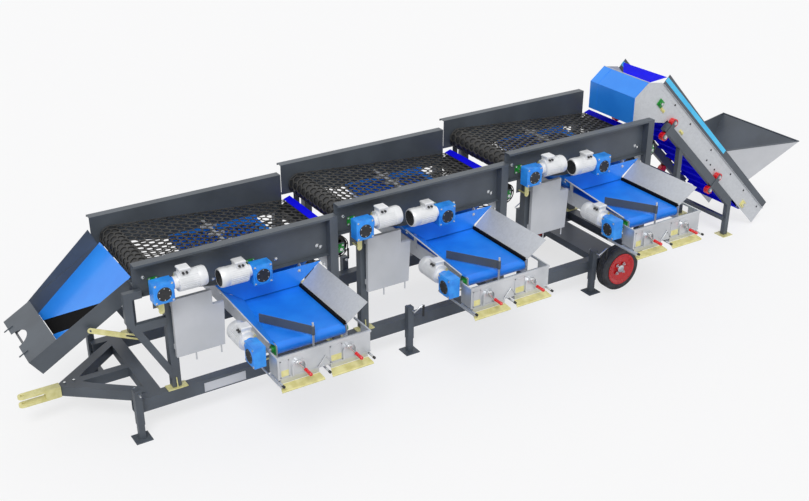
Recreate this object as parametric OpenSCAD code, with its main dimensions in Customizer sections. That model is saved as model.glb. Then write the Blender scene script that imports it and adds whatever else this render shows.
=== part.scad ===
// A towed grading machine for potatoes: three sieving decks stepped up along a chassis,
// each with a cross conveyor and a bagging head, fed by an inclined elevator with a hopper.
// Millimetres, +Z up, X along the machine towards the hopper, the working side faces -Y.
// The origin is on the ground, at the centre of the front left jack foot. The modules draw
// about the centre line and the left end of the lowest deck, and the last block moves them.

/* [Decks] */
// Length of one deck rail
deck_len = 2385; // [2300:5:2390]
// Gap between the rails of one deck and the next
deck_gap = 8; // [5:1:60]
// Rise from one deck to the next
deck_step = 120; // [80:5:160]
// Width over the deck rails
deck_w = 1540; // [1400:10:1700]
// Height of the lowest rail above the ground
rail_top = 2045; // [1950:5:2150]
// Width of the outward flange of a rail, also the side of a post
rail_w = 100; // [80:2:120]
// Depth of the rail at its discharge end
rail_depth_left = 385; // [340:5:420]
// Depth of the rail at its feed end
rail_depth_right = 480; // [440:5:520]

/* [Sieving belts] */
// Clearance from the belt edge to the rail
belt_side_gap = 25; // [10:1:40]
// Thickness of a sieving belt
mesh_t = 8; // [5:0.5:12]
// Radius of the two drums of a deck
drum_r = 122; // [100:1:130]
// Wall of the drums
drum_wall = 8; // [4:1:12]
// Distance between the centres of neighbouring gaps
gap_pitch = 150; // [140:1:170]
// Gap across its flats on the lowest deck
gap_large = 108; // [95:1:118]
// How much smaller the gap is on each deck further up
gap_less = 14; // [8:1:20]

/* [Shafts and bearings] */
// Radius of the driven shafts
shaft_r = 20; // [16:0.5:24]
// Radial play of a shaft in its bearing
shaft_play = 0.06; // [0.02:0.01:0.1]
// Gap between a drum and the belt around it
drum_gap = 0.4; // [0.3:0.05:0.8]

/* [Cross conveyors] */
// Width of a cross belt
cross_w = 800; // [740:10:860]
// Height of the lowest cross belt above the ground
cross_top = 1300; // [1260:5:1340]
// Radius of a cross drum
cross_r = 60; // [50:1:70]
// How far the cross drum stands out from the deck side
cross_reach = 980; // [900:10:1060]
// Length of the swinging gate
gate_len = 650; // [560:5:660]

/* [Bagging heads] */
// Width of a bagging head
head_w = 1090; // [1050:5:1130]
// Height of its front
head_h = 240; // [220:5:260]
// Depth of its box from front to back
head_depth = 190; // [170:5:220]

/* [Chassis] */
// Width of the long beams
beam_w = 120; // [100:2:140]
// Height of the long beams
beam_h = 160; // [140:2:180]
// Height of the beam tops above the ground
beam_top = 453; // [440:1:480]
// Reach of the drawbar ahead of the beams
drawbar_len = 585; // [500:5:700]
// Diameter of the hole for the towing pin
tow_pin_d = 40; // [30:1:50]

/* [Wheels and jacks] */
// Outer radius of a tyre
tyre_r = 314; // [300:1:320]
// Width of a tyre
tyre_w = 180; // [160:2:200]
// Radius of the rim edge
rim_r = 222; // [200:1:235]
// Distance from the axle to the feed end of the beams
axle_back = 566; // [500:2:620]
// Side of the outer jack tube
jack_w = 80; // [70:1:85]
// Side of the jack foot
foot_w = 190; // [160:5:195]
// How far a jack leg can be drawn up
jack_travel = 120; // [80:5:130]

/* [Elevator] */
// Slope of the elevator
elevator_angle = 45; // [44:0.5:46]
// Distance between its two drums
elevator_span = 2741; // [2600:1:2800]
// Width over the side plates
elevator_w = 888; // [840:2:920]
// Radius of its drums
elevator_r = 90; // [80:1:100]
// Height of a cleat
cleat_h = 50; // [30:1:60]

/* [Discharge chute] */
// Clearance from the side of the chute to the web of the rail
chute_inset = 170; // [120:5:220]
// Slope of the chute
chute_angle = 30; // [28:0.5:32]

/* [Hidden] */
$fn = 64;
e = 0.02;
seat = 0.3;
sheet = 5;
thin = 4;
decks = [0, 1, 2];
sides = [-1, 1];

// rails, seen from the side
deck_pitch = deck_len + deck_gap;
half_w = deck_w / 2;
web_y = half_w - rail_w;
belt_half = web_y - sheet - belt_side_gap;
level_left = 400;
level_right = 900;
rail_low_left = rail_top - rail_depth_left;
rail_low_right = rail_top - rail_depth_right;
rail_lip = 25;
low_flange = 60;
post_left_x = 295;
post_right_x = deck_len - rail_w;
foot_t = 12;
foot_plate = [230, 120];
bracket_inset = 20;

// drums of a deck
drive_x = 217;
drive_z = rail_top - 267;
tail_x = deck_len + 70;
tail_z = rail_top - 460;
tab_margin = 65;
drum_half = belt_half - 20;
agitator_x = 1331;
agitator_z = rail_top - 355;
agitator_arm = 84;
agitator_round = 18;

// green bearing units on the rails
unit_w = 100;
unit_t = 12;
unit_boss_r = 38;
unit_boss = 34;
shaft_end = 45;

// gear units and motors
gear_w = 220;
gear_d = 135;
gear_up = 130;
gear_back = web_y + 200;
gear_cover_r = 78;
gear_cover_t = 8;
motor_r = 105;
motor_len = 345;
motor_up = 67;
neck_r = 80;
neck_len = 45;
term = [110, 110, 60];
gear_shaft_end = -gear_back - gear_d + 20;
arm_w = 60;
arm_len = 270;
arm_short = 95;
arm_t = 12;
arm_pin_r = 10;
ear_off = 40;
cross_gear_gap = 140;

// cross conveyor
cross_x = 1480;
cross_t = 5;
cross_y = -(half_w + cross_reach);
cross_z = cross_top - cross_t - cross_r - drum_gap;
cross_wall_in = cross_w / 2 + 10;
cross_wall_low = 1120;
cross_wall_high = cross_top + 22;
cross_tail_inset = 170;
cross_tail_y = half_w - cross_tail_inset;
cross_front_y = cross_y - cross_r - cross_t - 12;
skirt_x = cross_x - 285;
seal_w = 28;
hanger_w = 60;

// bagging head
head_x0 = cross_x - 510;
head_x1 = head_x0 + head_w;
head_back_y = cross_front_y;
head_front_y = head_back_y - head_depth;
head_top = cross_top - 30;
head_low = head_top - head_h;
outlet_gap = 140;
outlet_w = (head_w - outlet_gap - 60) / 2;
outlet_low = head_low - 60;
lip_drop = 110;
lip_out = 115;
rod_r = 12;
cap_r = 15;
pivot_r = 12;
pivot_y = head_back_y - pivot_r - 2;
pivot_play = 0.06;
gate_angle = 33.5;
gate_t = 8;
gate_low = cross_top + 20;
gate_h = 100;
lever_pin_r = 8;
lever_z = head_low + 165;
lever_out = 34;
lever_arm = 95;
grip_len = 130;
grip_r = 14;
lever_x = [head_x0 + 30 + outlet_w / 2 - 30, head_x1 - 30 - outlet_w / 2 - 20];

// chassis
beam_low = beam_top - beam_h;
beam_left = -160;
beam_right = 2 * deck_pitch + deck_len + 15;
axle_x = beam_right - axle_back;
beam_y = half_w - beam_w / 2;
cross_member = 150;
member_x = [30, deck_len - 105, deck_pitch + deck_len - 98, beam_right - cross_member];
axle_member = 425;
tube_t = 8;
tie_z = 100;
draw_x = beam_left - drawbar_len;
draw_w = 100;
draw_h = 120;
ear_t = 30;
ear_gap = 72;
ear_len = 240;
ear_w = 100;
shank_len = 170;

// wheels
wheel_gap = 30;
wheel_in = half_w + wheel_gap;
spindle_r = 25;
spindle_play = 0.06;
hub_r = 55;
hub_len = 110;
bead_r = rim_r - 20;
stud_r = 8;
stud_circle = 80;

// jacks
jack_x = [beam_left + 24, deck_pitch + 927, 2 * deck_pitch + 1459];
jack_y = half_w + jack_w / 2;
jack_wall = 5;
jack_play = 0.5;
jack_low = 190;
jack_high = 630;
leg_w = jack_w - 2 * jack_wall - 2 * jack_play;
leg_top = jack_high - jack_travel - 70;
jack_foot_t = 12;
crank_r = 9;
crank_z = jack_high - 30;

// centre of the front left jack foot, which becomes the origin
origin = [jack_x[0], -jack_y, 0];

// elevator, in its own frame: x down the slope, z square to it, y across
head_drum_x = 2 * deck_pitch + deck_len + 399;
head_drum_z = rail_top + 300;
trough_half = elevator_w / 2;
lift_half = trough_half - 40;
lift_t = 6;
plate_up = 205;
plate_down = 75;
plate_end = elevator_span + 455;
board_h = 110;
guard_h = 45;
hopper_start = 1690;
hopper_end = elevator_span - 231;
hopper_out_x = head_drum_x + 2630;
hopper_out_half = 750;
track_w = 80;
track_h = 120;
track_top = -100;
track_from = 320;
track_to = elevator_span - 341;
track_y = trough_half + 26;
shoe_r = 58;
shoe_at = [400, 1850];
cleats = 11;
leg_inset = 117;
leg_x = head_drum_x + track_to * cos(elevator_angle) - leg_inset;
stay_w = 72;
strut_x = head_drum_x + 440;
tie_low = 1100;

// chute
chute_w = 2 * (web_y - chute_inset);
chute_top = [0, 1775];
lip_start = 940;
chute_run = 1295;
chute_depth = 205;
outlet_y = [-45, 325];
hinge = [30, 1745];
hinge_r = 12;
eye_r = 30;
notch_r = 150;
prop_high = [-470, 1340];
prop_low = [60, 1090];
prop_w = 60;
prop_t = 8;
prop_gap = 60;
prop_pin_r = 10;
prop_play = 1.5;
prop_slot = 170;

// colours
dark = [0.27, 0.30, 0.33];
blue = [0.10, 0.45, 0.95];
deep_blue = [0.05, 0.05, 0.85];
galvanised = [0.76, 0.79, 0.82];
zinc = [0.90, 0.88, 0.60];
black = [0.08, 0.08, 0.09];
red = [0.85, 0.08, 0.08];
green = [0.15, 0.55, 0.20];
silver = [0.85, 0.85, 0.86];
rubber = [0.22, 0.22, 0.22];

function unit(v) = v / norm(v);
function deg_of(m) = [atan2(m[1].z, m[2].z), asin(-m[0].z), atan2(m[0].y, m[0].x)];

// a flat sheet through corners given in space, its middle plane on them
module panel(p, t = thin) {
    u = unit(p[1] - p[0]);
    n = unit(cross(p[1] - p[0], p[2] - p[0]));
    v = cross(n, u);
    translate(p[0])
        rotate(deg_of([u, v, n]))
            linear_extrude(t, center = true)
                polygon([for (q = p) [(q - p[0]) * u, (q - p[0]) * v]]);
}

// an outline drawn in X and Z, from y0 to y1
module side_cut(y0, y1) {
    translate([0, max(y0, y1), 0])
        rotate([90, 0, 0])
            linear_extrude(abs(y1 - y0))
                children();
}

module box(x, y, z) {
    translate([min(x[0], x[1]), min(y[0], y[1]), min(z[0], z[1])])
        cube([abs(x[1] - x[0]), abs(y[1] - y[0]), abs(z[1] - z[0])]);
}

module rod_x(x0, x1, y, z, r) {
    translate([x0, y, z])
        rotate([0, 90, 0])
            cylinder(h = x1 - x0, r = r);
}

module rod_y(x, y0, y1, z, r) {
    translate([x, max(y0, y1), z])
        rotate([90, 0, 0])
            cylinder(h = abs(y1 - y0), r = r);
}

module rod_z(x, y, z0, z1, r) {
    translate([x, y, z0])
        cylinder(h = z1 - z0, r = r);
}

module at_deck(k) {
    translate([k * deck_pitch, 0, k * deck_step])
        children();
}

module both_sides() {
    children();
    mirror([0, 1, 0])
        children();
}

// a belt around two drums of the radius r along X, its upper run at +Z
module belt_loop(span, r, t, half) {
    difference() {
        round_ended(span, r + t, half);
        round_ended(span, r, half + 1);
    }
}

module round_ended(span, r, half) {
    box([0, span], [-half, half], [-r, r]);
    for (x = [0, span])
        rod_y(x, -half, half, 0, r);
}

// Chassis
module chassis_frame() {
    color(dark) {
        difference() {
            union() {
                for (s = sides)
                    box([beam_left, beam_right], [s * half_w, s * (half_w - beam_w)],
                        [beam_low, beam_top]);
                for (x = member_x)
                    box([x, x + cross_member], [-beam_y, beam_y], [beam_top - draw_h, beam_top]);
                box([axle_x - axle_member + 165, axle_x + 165], [-beam_y, beam_y],
                    [beam_top - tie_z, beam_top]);
            }
            for (s = sides)
                box([beam_left - e, beam_right + e],
                    [s * (half_w - tube_t), s * (half_w - beam_w + tube_t)],
                    [beam_low + tube_t, beam_top - tube_t]);
            for (x = member_x)
                box([x + tube_t, x + cross_member - tube_t], [-beam_y, beam_y],
                    [beam_top - draw_h + tube_t, beam_top - tube_t]);
            box([axle_x - axle_member + 165 + tube_t, axle_x + 165 - tube_t], [-beam_y, beam_y],
                [beam_top - tie_z + tube_t, beam_top - tube_t]);
        }
        drawbar();
        for (s = sides, x = jack_x)
            jack_tube(x, s);
    }
}

module drawbar() {
    z = beam_top - draw_h;
    translate([0, 0, z]) {
        both_sides()
            linear_extrude(draw_h)
                polygon([[draw_x, 0], [draw_x, -draw_w / 2 + 15], [draw_x + 15, -draw_w / 2],
                    [beam_left, -(half_w - beam_w) + 140], [beam_left + 190, -(half_w - beam_w)],
                    [beam_left + 190, -(half_w - beam_w) + 130], [draw_x + 330, -150],
                    [draw_x + 190, 0]]);
        box([draw_x + 150, 60], [-draw_w / 2, draw_w / 2], [0, draw_h]);
    }
    for (x = [draw_x + 60, draw_x + 165])
        rod_z(x, 12, beam_top, beam_top + 12, 14);
}

module jack_tube(x, s) {
    translate([x, s * jack_y, 0]) {
        difference() {
            box([-jack_w / 2, jack_w / 2], [-jack_w / 2, jack_w / 2], [jack_low, jack_high]);
            box([-jack_w / 2 + jack_wall, jack_w / 2 - jack_wall],
                [-jack_w / 2 + jack_wall, jack_w / 2 - jack_wall],
                [jack_low - e, jack_high - jack_wall]);
            rod_y(0, -jack_w, jack_w, crank_z, crank_r);
        }
    }
}

module tow_clevis() {
    z = beam_top - draw_h / 2;
    color(zinc)
        difference() {
            union() {
                box([draw_x - shank_len, draw_x], [-ear_w / 2, ear_w / 2],
                    [z - ear_gap / 2 - ear_t, z + ear_gap / 2 + ear_t]);
                for (f = sides)
                    translate([0, 0, z + f * (ear_gap + ear_t) / 2 - ear_t / 2]) {
                        box([draw_x - shank_len - ear_len, draw_x - shank_len],
                            [-ear_w / 2, ear_w / 2], [0, ear_t]);
                        rod_z(draw_x - shank_len - ear_len, 0, 0, ear_t, ear_w / 2);
                    }
            }
            rod_z(draw_x - shank_len - ear_len, 0, 0, beam_top + draw_h, tow_pin_d / 2);
        }
}

module axle() {
    color(dark) {
        box([axle_x - 40, axle_x + 40], [-(half_w - beam_w), half_w - beam_w],
            [tyre_r - 61, beam_top - tie_z]);
        both_sides() {
            box([axle_x - 70, axle_x + 70], [-half_w, -half_w - 15], [beam_low + 10, beam_low + 150]);
            rod_y(axle_x, -half_w, -wheel_in - hub_len + 10, tyre_r, spindle_r);
        }
    }
}

module rim(s) {
    mirror([0, s > 0 ? 1 : 0, 0])
        color(red)
            difference() {
                union() {
                    translate([axle_x, -wheel_in, tyre_r])
                        rotate([90, 0, 0])
                            rotate_extrude()
                                polygon([[bead_r - 12, 4], [bead_r, 4], [rim_r, 0], [rim_r, 8],
                                    [bead_r, 16], [bead_r, tyre_w - 16], [rim_r, tyre_w - 8],
                                    [rim_r, tyre_w], [bead_r, tyre_w - 4], [bead_r - 30, tyre_w - 22],
                                    [hub_r + 30, tyre_w - 40], [hub_r, tyre_w - 40], [hub_r, tyre_w - 52],
                                    [hub_r + 26, tyre_w - 52], [bead_r - 38, tyre_w - 36],
                                    [bead_r - 12, tyre_w - 48]]);
                    rod_y(axle_x, -wheel_in - 20, -wheel_in - hub_len - 50, tyre_r, hub_r);
                    for (a = [45:90:315])
                        translate([axle_x, -wheel_in - tyre_w + 54, tyre_r])
                            rotate([0, a, 0])
                                rod_y(stud_circle, 0, -30, 0, stud_r * 2);
                }
                rod_y(axle_x, 0, -wheel_in - hub_len + 10 - 0.5, tyre_r, spindle_r + spindle_play);
            }
}

module tyre(s) {
    mirror([0, s > 0 ? 1 : 0, 0])
        color(rubber)
            translate([axle_x, -wheel_in, tyre_r])
                rotate([90, 0, 0])
                    rotate_extrude()
                        difference() {
                            polygon([[bead_r, 16], [rim_r + 8, 10], [rim_r + 30, 0],
                                [tyre_r - 30, 0], [tyre_r - 8, 10], [tyre_r, 26],
                                [tyre_r, tyre_w - 26], [tyre_r - 8, tyre_w - 10],
                                [tyre_r - 30, tyre_w], [rim_r + 30, tyre_w], [rim_r + 8, tyre_w - 10],
                                [bead_r, tyre_w - 16]]);
                            translate([bead_r + 18, 26])
                                square([tyre_r - bead_r - 34, tyre_w - 52]);
                            for (v = [0.32, 0.5, 0.68])
                                translate([tyre_r - 8, tyre_w * v - 4])
                                    square([10, 8]);
                        }
}

module jack_leg(x, s) {
    color(dark)
        translate([x, s * jack_y, 0])
            difference() {
                union() {
                    box([-leg_w / 2, leg_w / 2], [-leg_w / 2, leg_w / 2], [jack_foot_t, leg_top]);
                    box([-foot_w / 2, foot_w / 2], [-foot_w / 2, foot_w / 2], [0, jack_foot_t]);
                }
                box([-leg_w / 2 + jack_wall, leg_w / 2 - jack_wall],
                    [-leg_w / 2 + jack_wall, leg_w / 2 - jack_wall], [jack_foot_t, leg_top + e]);
            }
}

// pins of the jacks with their knobs, and the clamping pin of the chute's stay with its collars
module locking_pins() {
    y = -chute_w / 2 - prop_gap;
    color(silver) {
        for (s = sides, x = jack_x)
            translate([x, s * jack_y, crank_z]) {
                rod_y(0, s * 120, s * -60, 0, crank_r - 0.02);
                translate([0, s * -62, 0])
                    sphere(20);
            }
        rod_y(prop_low.x, -web_y - bracket_inset, y + 8, prop_low.y, prop_pin_r);
        rod_y(prop_low.x, y + seat, y + 8, prop_low.y, 2 * prop_pin_r);
        rod_y(prop_low.x, y - prop_t - 8, y - prop_t - seat, prop_low.y, 2 * prop_pin_r);
    }
}

// Decks
function rail_low() = [[0, rail_low_left], [level_left, rail_low_left],
    [level_right, rail_low_right], [deck_len, rail_low_right]];

module rail_web() {
    difference() {
        union() {
            polygon(concat([[deck_len, rail_top], [0, rail_top]], rail_low()));
            polygon([[deck_len - 30, tail_z + tab_margin], [tail_x + tab_margin, tail_z + tab_margin],
                [tail_x + tab_margin, tail_z - tab_margin], [deck_len - 30, tail_z - tab_margin]]);
        }
        for (p = [[drive_x, drive_z], [tail_x, tail_z], [agitator_x, agitator_z]])
            translate(p)
                circle(shaft_r + 6);
    }
}

module rail() {
    side_cut(-web_y, -web_y + sheet)
        rail_web();
    box([0, deck_len], [-half_w, -web_y], [rail_top - sheet, rail_top]);
    box([0, deck_len], [-half_w, -half_w + sheet], [rail_top - rail_lip, rail_top - sheet]);
    side_cut(-web_y - low_flange, -web_y)
        intersection() {
            difference() {
                translate([0, sheet])
                    polygon(concat([[deck_len, 0], [0, 0]], rail_low()));
                polygon(concat([[deck_len + 1, -e], [-1, -e]], [[-1, rail_low_left]],
                    [for (i = [1:2]) rail_low()[i]], [[deck_len + 1, rail_low_right]]));
            }
            translate([0, rail_low_right])
                square([post_right_x, rail_depth_right]);
        }
}

// a post on its foot plate, set in from the rail's edge by y_in
module post(x, y_in, top) {
    box([x, x + rail_w], [-half_w + y_in, -web_y + y_in], [beam_top + foot_t, top]);
    box([x + rail_w / 2 - foot_plate[0] / 2, x + rail_w / 2 + foot_plate[0] / 2],
        [-half_w, -half_w + foot_plate[1]], [beam_top, beam_top + foot_t]);
}

module deck_frame(k) {
    color(dark) {
        at_deck(k)
            both_sides() {
                rail();
                // bracket that the torque arm is pinned to
                box([drive_x - arm_w / 2 - 8, drive_x + arm_w / 2 + 8],
                    [-web_y - ear_off, -web_y - ear_off + 8],
                    [drive_z - arm_len - arm_w / 2, rail_low_left + sheet]);
            }
        translate([k * deck_pitch, 0, 0])
            both_sides() {
                post(post_left_x, 30, rail_low_left + k * deck_step);
                post(post_right_x, 0, rail_top - sheet + k * deck_step);
            }
        if (k == 0)
            end_bracket();
    }
}

// the frame under the left end of the lowest deck that carries the chute and its stay
module end_bracket() {
    high = rail_low_left - 300;
    both_sides()
        side_cut(-half_w + bracket_inset, -web_y - bracket_inset)
            polygon([[60, rail_low_left + 90], [60, rail_low_left], [-50, rail_low_left], [-50, high],
                [post_left_x, high], [post_left_x, high - 100], [21, high - 100],
                [post_left_x, high - 607], [post_left_x, high - 775], [-140, high + 30],
                [-140, rail_low_left + 90]]);
    rod_y(hinge.x, -web_y, web_y, hinge.y, hinge_r);
}

module mesh_belt(k) {
    d = [tail_x - drive_x, tail_z - drive_z];
    span = norm(d);
    r = drum_r + drum_gap;
    gap = gap_large - k * gap_less;
    row = gap_pitch * sin(60);
    rows = floor((belt_half - 20) / row);
    cols = floor((span - 100) / gap_pitch);
    color(rubber)
        at_deck(k)
            translate([drive_x, 0, drive_z])
                rotate([0, -atan2(d.y, d.x), 0])
                    difference() {
                        belt_loop(span, r, mesh_t, belt_half);
                        for (s = sides, i = [0:cols - 1], j = [-rows:rows])
                            translate([75 + gap_pitch * (i + (j % 2 == 0 ? 0 : 0.5)), j * row,
                                s * (r + mesh_t / 2) - mesh_t])
                                rotate(30)
                                    cylinder(h = 2 * mesh_t, r = gap / sqrt(3), $fn = 6);
                    }
}

// a drum on its shaft along Y: a tube with a drilled disc near each end
module drum(x, z, r, half, y_front, y_back) {
    difference() {
        rod_y(x, -half, half, z, r);
        rod_y(x, -half - 1, half + 1, z, r - drum_wall);
    }
    for (s = sides)
        difference() {
            rod_y(x, s * (half - 40), s * (half - 30), z, r - drum_wall / 2);
            for (a = [45:90:315])
                rod_y(x + r / 2 * cos(a), s * (half - 45), s * (half - 25), z + r / 2 * sin(a), r / 5);
        }
    rod_y(x, y_front, y_back, z, shaft_r);
}

module drive_drum(k) {
    color(silver)
        at_deck(k)
            drum(drive_x, drive_z, drum_r, drum_half, gear_shaft_end, web_y + shaft_end);
}

module tail_drum(k) {
    color(silver)
        at_deck(k)
            drum(tail_x, tail_z, drum_r, drum_half, -web_y - shaft_end, web_y + shaft_end);
}

module agitator(k) {
    color(dark)
        at_deck(k) {
            rod_y(agitator_x, gear_shaft_end, web_y + shaft_end, agitator_z, shaft_r);
            for (y = [-480:240:480])
                side_cut(y - 10, y + 10)
                    translate([agitator_x, agitator_z]) {
                        square([2 * agitator_arm, 40], center = true);
                        for (s = sides)
                            translate([s * agitator_arm, 0])
                                circle(agitator_round + 2);
                    }
        }
}

module bearing_unit() {
    difference() {
        union() {
            translate([-unit_w / 2, 0, -unit_w / 2])
                cube([unit_w, unit_t, unit_w]);
            rod_y(0, 0, unit_boss, 0, unit_boss_r);
        }
        rod_y(0, -1, unit_boss + 1, 0, shaft_r + shaft_play);
    }
}

module flange_bearings() {
    color(green)
        for (k = decks)
            at_deck(k) {
                for (p = [[drive_x, drive_z], [tail_x, tail_z], [agitator_x, agitator_z]]) {
                    translate([p.x, web_y, p.y])
                        bearing_unit();
                    translate([p.x, -web_y, p.y])
                        mirror([0, 1, 0])
                            bearing_unit();
                }
                for (s = sides)
                    translate([cross_x + s * (cross_wall_in + sheet), cross_y, cross_z])
                        rotate(-s * 90)
                            bearing_unit();
            }
}

// a gear unit on a shaft along Y; the motor points along X to the side s, and the torque arm
// hangs down to a pin that reaches back to the frame
module gearmotor(s, arm, pin_len) {
    mirror([s < 0 ? 1 : 0, 0, 0]) {
        color(blue)
            difference() {
                union() {
                    side_cut(-gear_d, 0) {
                        translate([-gear_w / 2, 0])
                            square([gear_w, gear_up]);
                        circle(gear_w / 2);
                    }
                    rod_x(0, gear_w / 2 + 12, -gear_d / 2, motor_up, gear_d / 2 - 4);
                }
                rod_y(0, 1, -gear_d - 1, 0, shaft_r + shaft_play);
            }
        color(black)
            rod_y(0, -gear_d, -gear_d - gear_cover_t, 0, gear_cover_r);
        color(silver)
            motor();
        color(zinc)
            torque_arm(arm, pin_len);
    }
}

module motor() {
    translate([gear_w / 2 + 12, -gear_d / 2, motor_up]) {
        rod_x(0, neck_len, 0, 0, neck_r - 12);
        rod_x(neck_len, motor_len, 0, 0, motor_r);
        rod_x(motor_len, motor_len + 12, 0, 0, motor_r - 15);
        translate([neck_len + 25, -term.y / 2, 0])
            cube([term.x, term.y, motor_r + term.z - 20]);
    }
}

module torque_arm(arm, pin_len) {
    side_cut(0, arm_t)
        difference() {
            union() {
                circle(shaft_r + 40);
                translate([-arm_w / 2, -arm])
                    square([arm_w, arm]);
                translate([0, -arm])
                    circle(arm_w / 2);
            }
            circle(shaft_r + 6);
        }
    rod_y(0, -10, pin_len, -arm, arm_pin_r);
}

module gearmotors() {
    for (k = decks)
        at_deck(k) {
            translate([drive_x, -gear_back, drive_z])
                gearmotor(1, arm_len, gear_back - web_y - ear_off);
            translate([agitator_x, -gear_back, agitator_z])
                gearmotor(-1, arm_short, gear_back - web_y);
            translate([cross_x - cross_wall_in - sheet - cross_gear_gap, cross_y, cross_z])
                rotate(-90)
                    gearmotor(-1, arm_short, cross_gear_gap);
        }
}

module side_panels() {
    x0 = post_left_x + 56;
    front = -half_w - 45;
    color(galvanised)
        for (k = decks)
            at_deck(k) {
                side_cut(front, -half_w)
                    polygon([[x0, 870], [x0, 1575], [x0 + 453, 1575], [x0 + 453, 1400],
                        [x0 + 586, 1400], [x0 + 560, 870]]);
                for (x = [x0 + 225, x0 + 520])
                    rod_z(x, front + 20, 770, 870, 8);
                for (z = [950, 1480])
                    box([x0, x0 + 40], [-half_w, -half_w + 30], [z, z + 60]);
            }
}

// Catch hoppers
module catch_hoppers() {
    for (k = decks)
        at_deck(k) {
            color(blue) {
                hopper();
                curtain();
                left_skirt();
            }
            color(deep_blue)
                feed_plate();
        }
}

// two sloping sheets and their end walls between the rails, over the cross belt
module hopper() {
    left = [420, 1540];
    right = [2250, 1440];
    low = cross_top + 25;
    in = cross_w / 2 - 15;
    end = web_y - sheet - seat - thin / 2;
    panel([[left.x, -end, left.y], [left.x, end, left.y],
        [cross_x - in, end, low], [cross_x - in, -end, low]]);
    panel([[right.x, -end, right.y], [right.x, end, right.y],
        [cross_x + in, end, low], [cross_x + in, -end, low]]);
    both_sides()
        side_cut(-end - thin / 2, -end + thin / 2)
            polygon([left, [left.x, rail_low_left + 40], [right.x, rail_low_right + 40], right,
                [cross_x + in, low], [cross_x - in, low]]);
}

// the sheet that hangs from the rail flange down to the belt
module curtain() {
    high = rail_low_right - 20;
    low = cross_top + 12;
    side_cut(-half_w + 4, -half_w + 4 + thin)
        polygon([[cross_x - 586, high], [cross_x + 675, high], [cross_x + cross_wall_in - 5, low + 33],
            [cross_x + cross_wall_in - 5, low], [skirt_x, low]]);
}

// the sloping blue sheet beside the cross belt, outside the deck
module left_skirt() {
    a = [skirt_x, -half_w + 4 + thin / 2, cross_top + 8];
    b = [skirt_x - 285, a.y, cross_top + 220];
    c = [skirt_x - 140, cross_front_y + 22, a.z];
    n = cross(b - a, c - a);
    d = [cross_x - 490, c.y, a.z - (n.x * (cross_x - 490 - a.x) + n.y * (c.y - a.y)) / n.z];
    panel([a, b, d, c]);
}

module feed_plate() {
    x0 = tail_x - 195;
    panel([[x0, -belt_half, tail_z + 205], [x0, belt_half, tail_z + 205],
        [x0 + 165, belt_half, tail_z + 270], [x0 + 165, -belt_half, tail_z + 270]]);
    both_sides()
        box([x0 + 60, x0 + 100], [-web_y + sheet, -belt_half], [tail_z + 226, tail_z + 242]);
}

// Cross conveyors
module cross_frame() {
    color(galvanised) {
        for (s = sides)
            translate([cross_x, 0, 0])
                difference() {
                    box([s * cross_wall_in, s * (cross_wall_in + sheet)],
                        [cross_front_y, cross_tail_y + 70],
                        [cross_wall_low, s < 0 ? cross_top + 2 : cross_wall_high]);
                    translate([s * cross_wall_in, cross_y, cross_z])
                        rotate([0, 90, 0])
                            cylinder(h = 4 * sheet, r = shaft_r + 6, center = true);
                }
        translate([cross_x, 0, 0]) {
            box([-cross_wall_in, cross_wall_in], [cross_y + 110, cross_tail_y - 90],
                [cross_top - cross_t - 6.5, cross_top - cross_t - 1.5]);
            for (y = [cross_y + 250, -700, 0])
                box([-cross_wall_in, cross_wall_in], [y, y + 50], [cross_z - 20, cross_z + 30]);
            rod_x(-cross_wall_in, cross_wall_in, cross_tail_y, cross_z, cross_r);
        }
        // hangers up to the rails
        for (s = sides, y = [-half_w + 4 + thin + seat, web_y + 15])
            translate([cross_x + s * (cross_wall_in + sheet), 0, 0])
                box([0, s * 8], [y, y + hanger_w], [cross_z, rail_low_right]);
        // the sloping wing beside the belt, outside the deck
        wing_x = cross_x + cross_wall_in + sheet;
        panel([[wing_x, -half_w - 4, cross_wall_high], [wing_x + 230, -half_w - 4, cross_top + 230],
            [wing_x + 230, cross_front_y - 40, cross_top + 230], [wing_x, cross_front_y, cross_wall_high]]);
    }
    color(black)
        box([cross_x + cross_wall_in - seal_w, cross_x + cross_wall_in],
            [cross_front_y + 22, -half_w - 12], [cross_top + 3, cross_top + 38]);
}

module cross_frames() {
    for (k = decks)
        at_deck(k)
            cross_frame();
}

module cross_belts() {
    color(blue)
        for (k = decks)
            at_deck(k)
                translate([cross_x, 0, 0])
                    rotate(90)
                        translate([cross_y, 0, cross_z])
                            belt_loop(cross_tail_y - cross_y, cross_r + drum_gap, cross_t, cross_w / 2);
}

module cross_drum(k) {
    color(silver)
        at_deck(k) {
            translate([cross_x, cross_y, 0])
                rotate(-90)
                    drum(0, cross_z, cross_r, cross_w / 2, -cross_wall_in - 260, cross_wall_in + shaft_end);
        }
}

// Bagging heads
function outlet_x(i) = i == 0 ? head_x0 + 30 : head_x1 - 30 - outlet_w;

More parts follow.
